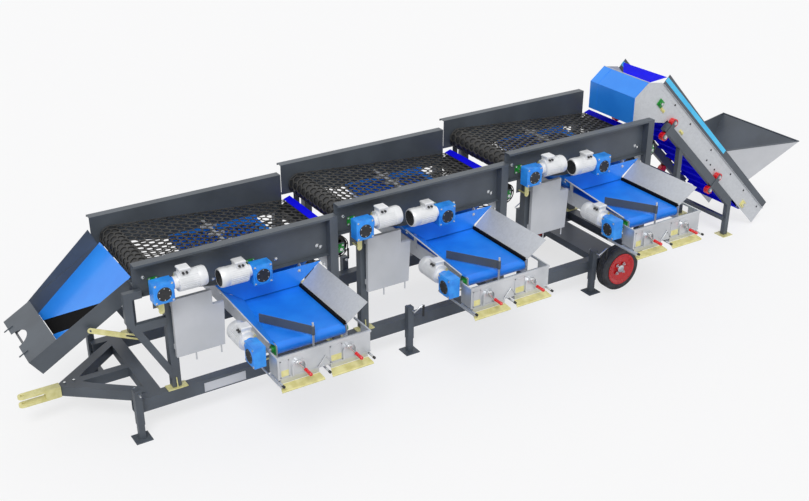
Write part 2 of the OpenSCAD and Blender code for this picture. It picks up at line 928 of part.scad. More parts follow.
module bag_head() {
    y0 = head_front_y;
    y1 = head_back_y;
    color(galvanised) {
        box([head_x0, head_x1], [y0, y0 - sheet], [head_low, head_top]);
        box([head_x0, head_x1], [y1, y1 - sheet], [head_low, cross_z - 60]);
        box([head_x0, head_x0 + sheet], [y0, y1], [head_low, head_top]);
        box([head_x1 - sheet, head_x1], [y0, y1], [head_low, head_top]);
        // bottom with two spouts
        difference() {
            box([head_x0, head_x1], [y0, y1], [head_low, head_low + sheet]);
            for (i = [0, 1])
                box([outlet_x(i), outlet_x(i) + outlet_w], [y0 - 1, y1 + 1],
                    [head_low - 1, head_low + sheet + 1]);
        }
        for (i = [0, 1])
            difference() {
                box([outlet_x(i), outlet_x(i) + outlet_w], [y0, y1], [outlet_low, head_low + sheet]);
                box([outlet_x(i) + thin, outlet_x(i) + outlet_w - thin], [y0 + thin, y1 - thin],
                    [outlet_low - 1, head_low + sheet + 1]);
            }
        // saddle that parts the flow between the spouts
        mid = (head_x0 + head_x1) / 2;
        side_cut(y0, y1)
            polygon([[mid - outlet_gap / 2, head_low + sheet], [mid, head_low + 130],
                [mid + outlet_gap / 2, head_low + sheet]]);
        // post of the gate
        rod_z(cross_x, pivot_y, head_low + 60, gate_low + gate_h + 40, pivot_r);
        box([cross_x - 20, cross_x + 20], [pivot_y - 20, y1 - sheet], [cross_z - 110, cross_z - 70]);
        // lugs and pin of each clamp lever
        for (x = lever_x) {
            for (s = sides)
                box([x + s * 24, x + s * 32], [y0 - sheet, y0 - sheet - lever_out - 14],
                    [lever_z - 18, lever_z + 18]);
            rod_x(x - 36, x + 36, y0 - sheet - lever_out, lever_z, lever_pin_r);
        }
        // rods that carry the bags
        for (x = [head_x0 + 12, mid, head_x1 - 12]) {
            rod_y(x, y0 - 90, y1, outlet_low + 30, rod_r);
            for (y = [y0 + 30, y1 - 50])
                box([x - 4, x + 4], [y, y + 20], [outlet_low + 30, head_low + 1]);
        }
    }
    color(black)
        for (x = [head_x0 + 12, (head_x0 + head_x1) / 2, head_x1 - 12])
            rod_y(x, y0 - 90, y0 - 115, outlet_low + 30, cap_r);
}

module bag_heads() {
    for (k = decks)
        at_deck(k)
            bag_head();
}

module bag_lips() {
    y = head_front_y - thin / 2 - 0.1;
    color(zinc)
        for (k = decks, i = [0, 1])
            at_deck(k)
                panel([[outlet_x(i), y, outlet_low + 50], [outlet_x(i) + outlet_w, y, outlet_low + 50],
                    [outlet_x(i) + outlet_w + 5, y - lip_out, outlet_low - lip_drop + 50],
                    [outlet_x(i) - 5, y - lip_out, outlet_low - lip_drop + 50]]);
}

module gate(k) {
    color(dark)
        at_deck(k)
            translate([cross_x, pivot_y, gate_low])
                rotate(gate_angle)
                    difference() {
                        union() {
                            cylinder(h = gate_h, r = pivot_r + 8);
                            translate([-gate_t / 2, 0, 0])
                                cube([gate_t, gate_len, gate_h]);
                        }
                        translate([0, 0, -1])
                            cylinder(h = gate_h + 2, r = pivot_r + pivot_play);
                    }
}

module clamp_lever(k, i) {
    y = head_front_y - sheet - lever_out;
    color(silver)
        at_deck(k)
            translate([lever_x[i], y, lever_z])
                difference() {
                    union() {
                        rod_x(-22, 22, 0, 0, 18);
                        box([-5, 5], [-14, 14], [-lever_arm, 0]);
                        rod_y(0, 14, -30, -lever_arm, 16);
                    }
                    rod_x(-23, 23, 0, 0, lever_pin_r + pivot_play);
                }
    color(red)
        at_deck(k)
            translate([lever_x[i], y, lever_z])
                rod_y(0, -30, -30 - grip_len, -lever_arm, grip_r);
}

// Elevator
module in_elevator() {
    translate([head_drum_x, 0, head_drum_z])
        rotate([0, elevator_angle, 0])
            children();
}

// a point of the machine's side view, in the elevator's own frame
function to_elevator(p) = let (d = p - [head_drum_x, head_drum_z])
    [d.x * cos(elevator_angle) - d.y * sin(elevator_angle),
        d.x * sin(elevator_angle) + d.y * cos(elevator_angle)];

hood_left = head_drum_x - 476;
hood_low = head_drum_z - 225;
hood_shoulder = head_drum_z + 155;
hood_ridge = [head_drum_x - 248, head_drum_z + 330];

module elevator_cradle() {
    color(dark) {
        both_sides() {
            in_elevator()
                box([track_from, track_to], [-track_y - track_w / 2, -track_y + track_w / 2],
                    [track_top - track_h, track_top]);
            cradle_legs();
        }
        box([beam_right - 15, beam_right + 60], [-web_y - 40, web_y + 40], [tie_low, tie_low + 80]);
        box([leg_x - 80, leg_x - 20], [-track_y, track_y], [250, 310]);
        box([strut_x - 30, strut_x + 30], [-track_y, track_y], [tie_low + 10, tie_low + 70]);
    }
}

// height of the middle of the track above a place along the machine
function track_z(x) = head_drum_z - (x - head_drum_x) * tan(elevator_angle)
    + (track_top - track_h / 2) / cos(elevator_angle);

module cradle_legs() {
    y = [-track_y - stay_w / 2, -track_y + stay_w / 2];
    box([leg_x - stay_w / 2, leg_x + stay_w / 2], y, [foot_t, track_z(leg_x)]);
    box([leg_x - 95, leg_x + 95], [-track_y - 95, -track_y + 95], [0, foot_t]);
    box([strut_x - stay_w / 2, strut_x + stay_w / 2], y, [tie_low + 40, track_z(strut_x)]);
    box([beam_right, strut_x + 40], y, [tie_low, tie_low + 80]);
}

module elevator_side() {
    difference() {
        polygon([to_elevator([hood_left, hood_low]), to_elevator([hood_left, hood_shoulder]),
            to_elevator(hood_ridge), [-plate_up, plate_up], [plate_end, plate_up],
            [plate_end, -plate_down], [track_from - 10, -plate_down],
            [track_from - 30, -plate_down - 60], to_elevator([hood_left + 260, hood_low])]);
        for (x = [0, elevator_span])
            translate([x, 0])
                circle(shaft_r + 6);
    }
}

module elevator_trough() {
    in_elevator() {
        color(galvanised)
            both_sides() {
                side_cut(-trough_half, -trough_half + thin)
                    elevator_side();
                box([-plate_up + 30, plate_end], [-trough_half - 25, -trough_half], [plate_up - thin, plate_up]);
            }
        // side boards and the guards over them
        color(dark)
            both_sides()
                box([-plate_up + 30, plate_end], [-trough_half, -trough_half + 8],
                    [plate_up, plate_up + board_h]);
        color([0.35, 0.75, 0.9])
            both_sides()
                box([-plate_up + 30, hopper_start], [-trough_half, -trough_half + 8],
                    [plate_up + board_h, plate_up + board_h + guard_h]);
        // slider bed and cross bars inside the belt loop
        color(galvanised) {
            box([180, elevator_span - 180], [-trough_half + thin, trough_half - thin],
                [elevator_r - 7, elevator_r - 3]);
            for (x = [400, 1400, 2400])
                box([x, x + 50], [-trough_half + thin, trough_half - thin], [-30, 20]);
        }
        color(zinc)
            for (x = [0, elevator_span], s = sides)
                translate([x, s * trough_half, 0])
                    mirror([0, s < 0 ? 1 : 0, 0])
                        bearing_unit();
    }
}

module elevator_hood() {
    y = trough_half + thin / 2 + 0.1;
    top_end = [hood_ridge.x + 320, hood_ridge.y + 20];
    color(blue) {
        box([hood_left - thin - 0.1, hood_left - 0.1], [-y, y], [hood_low, hood_shoulder]);
        panel([[hood_left - 4, -y, hood_shoulder + 1], [hood_left - 4, y, hood_shoulder + 1],
            [hood_ridge.x - 1, y, hood_ridge.y + 3], [hood_ridge.x - 1, -y, hood_ridge.y + 3]]);
    }
    in = trough_half - thin - 0.3;
    color(deep_blue) {
        panel([[hood_ridge.x, -y, hood_ridge.y + 3], [hood_ridge.x, 60, hood_ridge.y + 3],
            [top_end.x - 30, y - 60, top_end.y + 3], [top_end.x, -y, top_end.y + 5]]);
        // slide under the head drum that leads down to the highest deck
        panel([[hood_left + 30, -in, hood_low + 20], [hood_left + 30, in, hood_low + 20],
            [hood_left + 300, in, hood_low + 62], [hood_left + 300, -in, hood_low + 62]]);
    }
}

module elevator_belt() {
    run_z = elevator_r + drum_gap + lift_t;
    step = (elevator_span - 200) / (cleats - 1);
    color(deep_blue)
        in_elevator() {
            belt_loop(elevator_span, elevator_r + drum_gap, lift_t, lift_half);
            for (i = [0:cleats - 1], s = sides)
                box([100 + i * step - 4, 100 + i * step + 4], [-lift_half + 30, lift_half - 30],
                    [s * (run_z - 1), s * (run_z + cleat_h)]);
        }
}

module elevator_drum(x) {
    color(silver)
        in_elevator() {
            drum(x, 0, elevator_r, lift_half - 5, -trough_half - shaft_end, trough_half + shaft_end);
        }
}

module feed_hopper() {
    base = plate_up + board_h;
    c = cos(elevator_angle);
    s = sin(elevator_angle);
    a = [head_drum_x + hopper_start * c + base * s, head_drum_z - hopper_start * s + base * c];
    b = [head_drum_x + hopper_end * c + base * s, head_drum_z - hopper_end * s + base * c];
    y = trough_half + thin;
    out = hopper_out_half;
    color(dark) {
        for (f = sides)
            panel([[a.x, f * y, a.y], [hopper_out_x, f * out, a.y], [b.x, f * y, b.y]]);
        panel([[b.x, -y, b.y], [b.x, y, b.y], [hopper_out_x, out, a.y], [hopper_out_x, -out, a.y]]);
    }
}

// round shoes above and below each track, joined by a plate outside it
module guide_shoes() {
    outer = track_y + track_w / 2 + 2;
    above = track_top + shoe_r;
    below = track_top - track_h - shoe_r;
    in_elevator()
        both_sides()
            for (x = shoe_at) {
                color(red)
                    for (z = [above, below])
                        rod_y(x, -outer, -trough_half - seat, z, shoe_r);
                color(dark)
                    side_cut(-outer - 8, -outer)
                        translate([x - 35, below - 35])
                            square([70, above - below + 70]);
            }
}

// Chute
module in_chute() {
    translate([chute_top.x, 0, chute_top.y])
        rotate([0, -chute_angle, 0])
            children();
}

// a point of the machine's side view, in the chute's frame: x runs up its slope
function to_chute(p) = let (d = p - chute_top)
    [d.x * cos(chute_angle) + d.y * sin(chute_angle), d.y * cos(chute_angle) - d.x * sin(chute_angle)];

module chute_side() {
    eye = to_chute(hinge);
    difference() {
        union() {
            polygon([[0, 0], [-chute_run, 0], [-chute_run + 20, -chute_depth - 10],
                [-230, -chute_depth], [-60, -chute_depth + 60]]);
            translate(eye)
                circle(eye_r);
            polygon([[0, 0], eye + [eye_r * 0.8, eye_r * 0.6], eye - [0, eye_r], [-40, -eye_r - 60]]);
        }
        translate(eye)
            circle(hinge_r + pivot_play);
    }
}

module chute() {
    half = chute_w / 2;
    eye = to_chute(hinge);
    pin = to_chute(prop_high);
    color(dark)
        in_chute() {
            both_sides() {
                side_cut(-half, -half + thin)
                    chute_side();
                difference() {
                    rod_y(eye.x, -half - 16, -half, eye.y, eye_r - 4);
                    rod_y(eye.x, -half - 17, -half + 1, eye.y, hinge_r + pivot_play);
                }
            }
            rod_y(pin.x, -half - prop_gap - prop_t - 12, -half, pin.y, prop_pin_r);
            rod_y(pin.x, -half - prop_gap + 0.5, -half, pin.y, prop_pin_r + 8);
            difference() {
                box([-chute_run, -lip_start], [-half, half], [-thin, 0]);
                translate([-chute_run, 30, -thin - 1])
                    cylinder(h = thin + 2, r = notch_r);
            }
            // hooks that hold the sack
            for (y = [-300, 300])
                box([-chute_run - 50, -chute_run + 60], [y - 6, y + 6], [0, 10]);
            side_cut(-half, half)
                polygon([[-chute_run + 20, -chute_depth - 10], [-chute_run + 24, -chute_depth - 10],
                    [-chute_run + 18, -chute_depth + 70], [-chute_run + 14, -chute_depth + 70]]);
        }
}

module chute_liner() {
    half = chute_w / 2 - thin - 0.2;
    low = [-lip_start - 30, -chute_depth + 10];
    color(blue)
        in_chute()
            difference() {
                panel([[50, -half, 2], [50, half, 2], [low.x, half, low.y], [low.x, -half, low.y]]);
                box([-lip_start - 60, -lip_start + 400], outlet_y, [-chute_depth - 40, 0]);
            }
}

// the stay turns on a pin of the chute and clamps on a pin of the end bracket through its slot
module chute_prop() {
    d = prop_low - prop_high;
    len = norm(d);
    y = -chute_w / 2 - prop_gap;
    color(zinc)
        difference() {
            side_cut(y - prop_t, y)
                translate(prop_high)
                    rotate(atan2(d.y, d.x)) {
                        difference() {
                            union() {
                                circle(prop_w / 2);
                                translate([0, -prop_w / 2])
                                    square([len, prop_w]);
                                translate([len, 0])
                                    circle(prop_w / 2);
                            }
                            translate([len - prop_slot, -prop_pin_r - prop_play])
                                square([prop_slot, 2 * (prop_pin_r + prop_play)]);
                            for (x = [len - prop_slot, len])
                                translate([x, 0])
                                    circle(prop_pin_r + prop_play);
                        }
                    }
            rod_y(prop_high.x, y + 1, y - prop_t - 1, prop_high.y, prop_pin_r + pivot_play);
        }
}

translate(-origin) {
    chassis_frame();
    tow_clevis();
    axle();
    rim(-1);  // front_rim
    rim(1);  // rear_rim
    tyre(-1);  // front_tyre
    tyre(1);  // rear_tyre
    jack_leg(jack_x[0], -1);  // jack_leg_front_left
    jack_leg(jack_x[1], -1);  // jack_leg_front_middle
    jack_leg(jack_x[2], -1);  // jack_leg_front_right
    jack_leg(jack_x[0], 1);  // jack_leg_rear_left
    jack_leg(jack_x[1], 1);  // jack_leg_rear_middle
    jack_leg(jack_x[2], 1);  // jack_leg_rear_right
    locking_pins();
    deck_frame(0);  // deck_1_frame
    deck_frame(1);  // deck_2_frame
    deck_frame(2);  // deck_3_frame
    mesh_belt(0);  // deck_1_mesh_belt
    mesh_belt(1);  // deck_2_mesh_belt
    mesh_belt(2);  // deck_3_mesh_belt
    drive_drum(0);  // deck_1_drive_drum
    drive_drum(1);  // deck_2_drive_drum
    drive_drum(2);  // deck_3_drive_drum
    tail_drum(0);  // deck_1_tail_drum
    tail_drum(1);  // deck_2_tail_drum
    tail_drum(2);  // deck_3_tail_drum
    agitator(0);  // deck_1_agitator
    agitator(1);  // deck_2_agitator
    agitator(2);  // deck_3_agitator
    catch_hoppers();
    side_panels();
    gearmotors();
    flange_bearings();
    cross_frames();
    cross_belts();
    cross_drum(0);  // cross_1_drum
    cross_drum(1);  // cross_2_drum
    cross_drum(2);  // cross_3_drum
    bag_heads();
    bag_lips();
    gate(0);  // gate_1
    gate(1);  // gate_2
    gate(2);  // gate_3
    clamp_lever(0, 0);  // clamp_lever_1_left
    clamp_lever(0, 1);  // clamp_lever_1_right
    clamp_lever(1, 0);  // clamp_lever_2_left
    clamp_lever(1, 1);  // clamp_lever_2_right
    clamp_lever(2, 0);  // clamp_lever_3_left
    clamp_lever(2, 1);  // clamp_lever_3_right
    elevator_cradle();
    elevator_trough();
    elevator_hood();
    elevator_belt();
    elevator_drum(0);  // elevator_head_drum
    elevator_drum(elevator_span);  // elevator_tail_drum
    feed_hopper();
    guide_shoes();
    chute();
    chute_liner();
    chute_prop();
}
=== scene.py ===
"""Looks of a towed potato grading machine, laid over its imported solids.

Sizes are millimetres, named as in the part's source, and become metres where a mesh is made.
"""
import math

import bpy
import numpy as np
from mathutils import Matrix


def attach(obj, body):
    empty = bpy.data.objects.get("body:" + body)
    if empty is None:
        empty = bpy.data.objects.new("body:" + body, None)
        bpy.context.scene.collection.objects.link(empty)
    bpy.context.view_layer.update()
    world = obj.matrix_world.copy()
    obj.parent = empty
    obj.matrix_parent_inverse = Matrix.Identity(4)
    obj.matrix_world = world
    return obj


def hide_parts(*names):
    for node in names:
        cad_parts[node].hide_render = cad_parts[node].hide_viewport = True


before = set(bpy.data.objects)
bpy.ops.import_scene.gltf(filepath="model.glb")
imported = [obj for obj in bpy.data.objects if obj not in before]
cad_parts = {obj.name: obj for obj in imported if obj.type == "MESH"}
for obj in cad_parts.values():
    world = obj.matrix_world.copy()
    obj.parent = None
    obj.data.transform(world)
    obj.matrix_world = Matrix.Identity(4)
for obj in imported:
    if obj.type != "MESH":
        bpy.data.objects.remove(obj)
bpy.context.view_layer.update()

# Decks and frame: the web is the upright of a deck's side rail, seat the gap where two sheets meet
deck_pitch, deck_step = 2393, 120
decks = (0, 1, 2)
web_y, sheet_t, thin, seat = 670, 5, 4, 0.3
beam_top, foot_t = 453, 12

# Wheels, by their axle and the inner face of the tyres, and jacks, by their middles
axle_x, tyre_r, tyre_w, rim_r, wheel_in = 6620, 314, 180, 222, 800
jack_x, jack_y, crank_z = (-136, 3320, 6245), 810, 600

# Drums and agitator of the lowest deck, by their X and Z
drive = np.array([217.0, 1778.0])
tail = np.array([2455.0, 1585.0])
agitator = np.array([1331.0, 1690.0])
drum_r, drum_gap, mesh_t, belt_half = 122, 0.4, 8, 640

# Gear units, from their output shaft: the motor lies beside it, and an arm holds the unit
gear_back, gear_d, arm_low = 870, 135, 110
motor_up, motor_from, motor_len, motor_r = 67, 122, 345, 105
motor_y, motor_end, cover_seat = -gear_d / 2, motor_from + motor_len, -gear_d - 8

# Cross conveyor and bagging head of the lowest deck
cross_x, cross_y, cross_top, cross_z = 1480, -1750, 1300, 1234.6
cross_half, cross_gear_gap = 410, 140
cross_gear_x = cross_x - cross_half - sheet_t - cross_gear_gap
head_x0, head_w, head_top, head_low, head_front_y = 970, 1090, 1270, 1030, -2017
outlet_w, outlet_gap = 445, 140

# Elevator and discharge chute
head_drum = np.array([7570.0, 2345.0])
elevator_span, elevator_angle, trough_half = 2741, math.radians(45), 444
plate_top, board_top = 205, 315
hood_left, hood_low, hood_shoulder = 7094, 2120, 2500
ridge_x, ridge_z = 7322, 2675
chute_top, chute_angle = np.array([0.0, 1775.0]), math.radians(30)

# The frame's origin, the centre of the front left jack foot; sizes here count from the centre line
origin = np.array([-136.0, -810.0, 0.0])


# Nodes and materials
def linear(colour):
    """An sRGB hex colour as linear red, green, blue and an alpha of 1."""
    c = np.array([int(colour[i:i + 2], 16) for i in (0, 2, 4)]) / 255
    return (*np.where(c <= 0.04045, c / 12.92, ((c + 0.055) / 1.055) ** 2.4), 1.0)


def add(tree, kind, inputs=(), **settings):
    """Adds a shader node: settings are its properties, inputs its sockets, each a value or an output."""
    made = tree.nodes.new("ShaderNode" + kind)
    for name, value in settings.items():
        setattr(made, name, value)
    for name, value in dict(inputs).items():
        if isinstance(value, bpy.types.NodeSocket):
            tree.links.new(value, made.inputs[name])
        else:
            made.inputs[name].default_value = value
    return made


def material(name, sockets):
    """A new material, with its tree and its shader's sockets set."""
    made = bpy.data.materials.new(name)
    made.use_nodes = True
    shader = made.node_tree.nodes["Principled BSDF"]
    for socket, value in sockets.items():
        shader.inputs[socket].default_value = value
    return made, made.node_tree, shader


def coloured(tree, shader, factor, low, high, start=0.0, end=1.0):
    """Colour from one hex colour to another as a factor goes from start to end."""
    ramp = add(tree, "ValToRGB", {"Fac": factor})
    for element, position, colour in zip(ramp.color_ramp.elements, (start, end), (low, high)):
        element.position = position
        element.color = linear(colour)
    tree.links.new(ramp.outputs["Color"], shader.inputs["Base Color"])


def clouded(tree, shader, low, high, blotch):
    """Colour between two hex colours by soft clouds, blotch millimetres across."""
    place = add(tree, "TexCoord").outputs["Object"]
    cloud = add(tree, "TexNoise", {"Vector": place, "Scale": 1000 / blotch, "Detail": 4.0}).outputs["Fac"]
    coloured(tree, shader, cloud, low, high, 0.35, 0.65)
    return place, cloud


def rough_between(tree, shader, factor, low, high):
    """Roughness from low to high along a factor."""
    spread = add(tree, "MapRange", {"Value": factor, "To Min": low, "To Max": high})
    tree.links.new(spread.outputs["Result"], shader.inputs["Roughness"])


def bumped(tree, shader, height, depth, strength=1.0):
    """Bump from a height between 0 and 1, depth in millimetres."""
    bump = add(tree, "Bump", {"Height": height, "Distance": depth / 1000, "Strength": strength})
    tree.links.new(bump.outputs["Normal"], shader.inputs["Normal"])


def grained(tree, shader, place, grain, depth):
    """Bump from a fine noise, grain and depth in millimetres."""
    noise = add(tree, "TexNoise", {"Vector": place, "Scale": 1000 / grain, "Detail": 2.0})
    bumped(tree, shader, noise.outputs["Fac"], depth)


def painted(name, low, high, blotch, roughness, grain, depth, coat=0.0, gloss=0.5):
    """A sprayed or powder-coated finish: near even colour, satin, with a slight orange peel."""
    made, tree, shader = material(name, {"IOR": 1.5, "Coat Weight": coat, "Coat Roughness": 0.15,
                                         "Specular IOR Level": gloss})
    place, cloud = clouded(tree, shader, low, high, blotch)
    rough_between(tree, shader, cloud, roughness - 0.06, roughness + 0.06)
    grained(tree, shader, place, grain, depth)
    return made


# Powder coat on welded steel, oven-cured: satin anthracite, peel drawn 9 mm wide so that it shows
anthracite = painted("anthracite_powder_coat", "484e55", "525961", 420, 0.42, 9, 0.25)

# Air-dried enamel on folded sheet: bright blue, smoother and glossier than powder
blue_enamel = painted("blue_sheet_enamel", "1f84ee", "2b90f7", 600, 0.34, 14, 0.2, coat=0.25)

# The same enamel on cast gear housings, over the slight roughness of sand casting
gear_enamel = painted("blue_cast_enamel", "1c80e2", "2e98f2", 90, 0.38, 5, 0.5, coat=0.2)

# Deep blue food-grade polyurethane, calendered: dull and even, so that its blue stays deep
polyurethane = painted("deep_blue_polyurethane", "0606dc", "0c0cf0", 300, 0.7, 6, 0.15, gloss=0.12)

# Cross belts: bright blue PVC pressed on a woven ply, whose weave shows faintly, drawn 12 mm wide
yarn_spacing = 12
belt_pvc, tree, shader = material("blue_pvc_belt", {"IOR": 1.53, "Coat Weight": 0.15, "Coat Roughness": 0.3})
place, cloud = clouded(tree, shader, "0f78ea", "1b86f4", 260)
rough_between(tree, shader, cloud, 0.34, 0.48)
yarns = {"Vector": place, "Scale": 1000 / yarn_spacing / (2 * math.pi), "Distortion": 0.3}
warp, weft = (add(tree, "TexWave", yarns, bands_direction=axis).outputs["Fac"] for axis in ("X", "Y"))
weave = add(tree, "Math", {0: warp, 1: weft}, operation="MULTIPLY")
bumped(tree, shader, weave.outputs["Value"], 0.4, 0.6)

# Hot-dip galvanised sheet: zinc crystals 25 mm across, each with its own tone and gloss
crystal = 25
galvanised, tree, shader = material("galvanised_sheet", {"Metallic": 0.4})
place = add(tree, "TexCoord").outputs["Object"]
crystals = add(tree, "TexVoronoi", {"Vector": place, "Scale": 1000 / crystal, "Randomness": 1.0})
tone = add(tree, "SeparateColor", {"Color": crystals.outputs["Color"]}).outputs["Red"]
coloured(tree, shader, tone, "c3c6ca", "cbced2")
rough_between(tree, shader, tone, 0.5, 0.56)

# Side covers: galvanised sheet under a pale grey primer, matt
primer = painted("pale_grey_primer", "babdc1", "c6c8cc", 500, 0.5, 12, 0.15)

# Brushed stainless sheet of the bagging heads: fine lines along the rolling direction, drawn 4 mm apart
stainless, tree, shader = material("brushed_stainless", {"Metallic": 0.8})
place, cloud = clouded(tree, shader, "c4c7cb", "dadcdf", 340)
drawn = add(tree, "Mapping", {"Vector": place, "Scale": (12, 12, 250)}).outputs["Vector"]
lines = add(tree, "TexNoise", {"Vector": drawn, "Scale": 1.0, "Detail": 3.0})
rough_between(tree, shader, lines.outputs["Fac"], 0.28, 0.5)
bumped(tree, shader, lines.outputs["Fac"], 0.3, 0.5)

# Ground and polished shafting: bright, with faint turning marks
bright_steel, tree, shader = material("ground_shaft_steel", {"Metallic": 1.0})
place, cloud = clouded(tree, shader, "c3c6c9", "d9dbdd", 60)
rough_between(tree, shader, cloud, 0.18, 0.32)
grained(tree, shader, place, 3, 0.05)

# Yellow passivated zinc plate: pale straw, with greener and browner clouds
yellow_zinc, tree, shader = material("yellow_zinc_plate", {"Metallic": 0.25, "Coat Weight": 0.2})
place, cloud = clouded(tree, shader, "d4cd86", "e6e0a4", 70)
rough_between(tree, shader, cloud, 0.36, 0.52)
grained(tree, shader, place, 4, 0.1)

# Gloss enamel on rims, shoes and grips
red_enamel = painted("red_gloss_enamel", "cf1117", "e21a1f", 90, 0.28, 7, 0.2, coat=0.4)

# Green enamel on cast iron bearing housings
green_cast = painted("green_cast_iron", "157a2a", "23983a", 25, 0.42, 4, 0.5)

# Aluminium paint over a finned die casting
motor_paint, tree, shader = material("silver_motor_paint", {"Metallic": 0.35})
place, cloud = clouded(tree, shader, "dfe1e3", "e8e9eb", 90)
rough_between(tree, shader, cloud, 0.36, 0.44)
grained(tree, shader, place, 4, 0.05)

# Hard black plastic: gear covers, bar ends and fan grilles
black_plastic = painted("black_moulded_plastic", "1d1e20", "28292b", 40, 0.45, 3, 0.15)

# Vulcanised rubber of the sieving belts: charcoal, matt, greyed where the crop has rubbed it
sieve_rubber, tree, shader = material("vulcanised_rubber", {"IOR": 1.52})
place, cloud = clouded(tree, shader, "1f1e1d", "3a3937", 150)
rough_between(tree, shader, cloud, 0.5, 0.72)
grained(tree, shader, place, 5, 0.4)

# Tyre rubber: moulded, a little dustier than the belts
tyre_rubber, tree, shader = material("moulded_tyre_rubber", {"IOR": 1.52})
place, cloud = clouded(tree, shader, "2f3033", "46474a", 60)
rough_between(tree, shader, cloud, 0.62, 0.8)
grained(tree, shader, place, 4, 0.3)

# Black sealing strip: closed-cell rubber, which throws back almost no light; the same near-black sheet fills
# the chute's outlet as painted shade
seal_rubber_and_painted_shade = painted("black_seal_rubber", "050506", "0b0b0d", 50, 0.85, 3, 0.3, gloss=0.15)

# Light blue guard strip: self-coloured polyethylene, waxy
guard_plastic = painted("light_blue_polyethylene", "3fb9ec", "52c6f2", 200, 0.4, 10, 0.2)


# Shapes: a shape is its points and a list of face groups, one array for each number of corners
def join(*shapes):
    """One shape from several."""
    points, groups, start = [], [], 0
    for p, faces in shapes:
        points.append(p)
        groups += [f + start for f in faces]
        start += len(p)
    return np.concatenate(points), groups


def moved(shape, offset):
    """The shape shifted by an offset."""
    return shape[0] + np.asarray(offset, float), shape[1]


def flipped(shape, axis=1):
    """The shape mirrored along an axis, its faces turned round so that they still point outwards."""
    points = shape[0].copy()
    points[:, axis] *= -1
    return points, [f[:, ::-1] for f in shape[1]]


def turned(shape, axis):
    """The shape with its own Y axis laid along another one."""
    v = np.asarray(axis, float) / np.linalg.norm(axis)
    u = np.cross(v, (0, 0, 1) if abs(v[2]) < 0.9 else (1, 0, 0))
    u /= np.linalg.norm(u)
    return shape[0] @ np.array([u, v, np.cross(u, v)]), shape[1]


def copies(shape, places):
    """The shape repeated at each of the places."""
    places = np.atleast_2d(places)
    n = len(shape[0])
    points = (places[:, None, :] + shape[0][None]).reshape(-1, 3)
    steps = (np.arange(len(places)) * n)[:, None, None]
    return points, [(f[None] + steps).reshape(-1, f.shape[1]) for f in shape[1]]


def grid(rows, cols, loop_rows=False, loop_cols=False):
    """Quads between neighbouring rows and columns of a rectangular array of points."""
    index = np.arange(rows * cols).reshape(rows, cols)
    if loop_rows:
        index = np.vstack([index, index[:1]])
    if loop_cols:
        index = np.hstack([index, index[:, :1]])
    corners = [index[:-1, :-1], index[:-1, 1:], index[1:, 1:], index[1:, :-1]]
    return np.stack(corners, axis=-1).reshape(-1, 4)


def turning(profile, count, closed=False):
    """A turned shape about Y: each profile point (radius, y) is carried round a circle in count steps.

    The profile may run either way: the sign of the area that it goes round says which side is outside.
    """
    profile = np.asarray(profile, float)
    a = np.arange(count) * 2 * math.pi / count
    r, y = profile[:, :1], profile[:, 1:]
    faces = grid(len(profile), count, closed, True)
    if np.sum((r + np.roll(r, -1)) * (np.roll(y, -1) - y)) > 0:
        faces = faces[:, ::-1]
    points = np.stack([r * np.cos(a), np.broadcast_to(y, (len(profile), count)), r * np.sin(a)], axis=-1)
    return points.reshape(-1, 3), [faces]


def bar(path, radius, count=10):
    """A round bar: a circle carried along the path, square to it, with flat ends.

    The circle is drawn about a helper, the direction that no stretch of the path runs along.
    """
    path = np.asarray(path, float)
    along = np.gradient(path, axis=0)
    along /= np.linalg.norm(along, axis=1)[:, None]
    helpers = np.vstack([np.eye(3), [(0.6, 0.6, 0.53), (0.6, -0.6, 0.53)]])
    helper = helpers[np.argmin(np.abs(along @ helpers.T).max(axis=0))]
    side = np.cross(along, helper)
    side /= np.linalg.norm(side, axis=1)[:, None]
    up = np.cross(along, side)
    a = np.arange(count) * 2 * math.pi / count
    ring = radius * (np.cos(a)[None, :, None] * side[:, None] + np.sin(a)[None, :, None] * up[:, None])
    points = (path[:, None] + ring).reshape(-1, 3)
    last = np.arange(count)[None, :] + (len(path) - 1) * count
    first = np.arange(count)[None, ::-1]
    return points, [grid(len(path), count, False, True), first, last]


def walled(near, far):
    """A solid between two outlines with the same number of points, near counted anticlockwise."""
    n = len(near)
    i = np.arange(n)
    j = np.roll(i, -1)
    walls = np.stack([i, i + n, j + n, j], axis=1)
    return np.vstack([near, far]), [i[None, :], (i[::-1] + n)[None, :], walls]


def prism(outline, low, high):
    """An outline in X and Z, counted anticlockwise seen from -Y, carried from y low to y high."""
    x, z = np.asarray(outline, float).T
    near = np.column_stack([x, np.full(len(x), low), z])
    return walled(near, near + (0, high - low, 0))


def sheet(corners, thickness):
    """A flat sheet through corners in space, counted anticlockwise seen from its face."""
    corners = np.asarray(corners, float)
    face = np.cross(corners[1] - corners[0], corners[2] - corners[0])
    half = face / np.linalg.norm(face) * thickness / 2
    return walled(corners + half, corners - half)


def block(low, high):
    """A box between two corners."""
    (x0, y0, z0), (x1, y1, z1) = low, high
    return prism([(x0, z0), (x1, z0), (x1, z1), (x0, z1)], y0, y1)


def piece(name, shape, finish, body="machine", sharp=35):
    """A shape as a shown object that rides on a body; edges sharper than the angle stay crisp."""
    points, groups = shape
    mesh = bpy.data.meshes.new(name)
    mesh.from_pydata(((points - origin) / 1000).tolist(), [], [f for g in groups for f in g.tolist()])
    mesh.materials.append(finish)
    mesh.shade_smooth()
    mesh.set_sharp_from_angle(angle=math.radians(sharp))
    made = bpy.data.objects.new(name, mesh)
    bpy.context.scene.collection.objects.link(made)
    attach(made, body)
    return made


def at_deck(k):
    """The place of a deck's own origin."""
    return np.array([k * deck_pitch, 0.0, k * deck_step])


def on_every_deck(shape):
    """The shape once for each deck."""
    return copies(shape, [at_deck(k) for k in decks])


def both_sides(shape):
    """The shape and its mirror image across the centre line."""
    return join(shape, flipped(shape))


# Finishes of the solids: a face is told by where its centre lies, give or take the skin
skin = 0.5


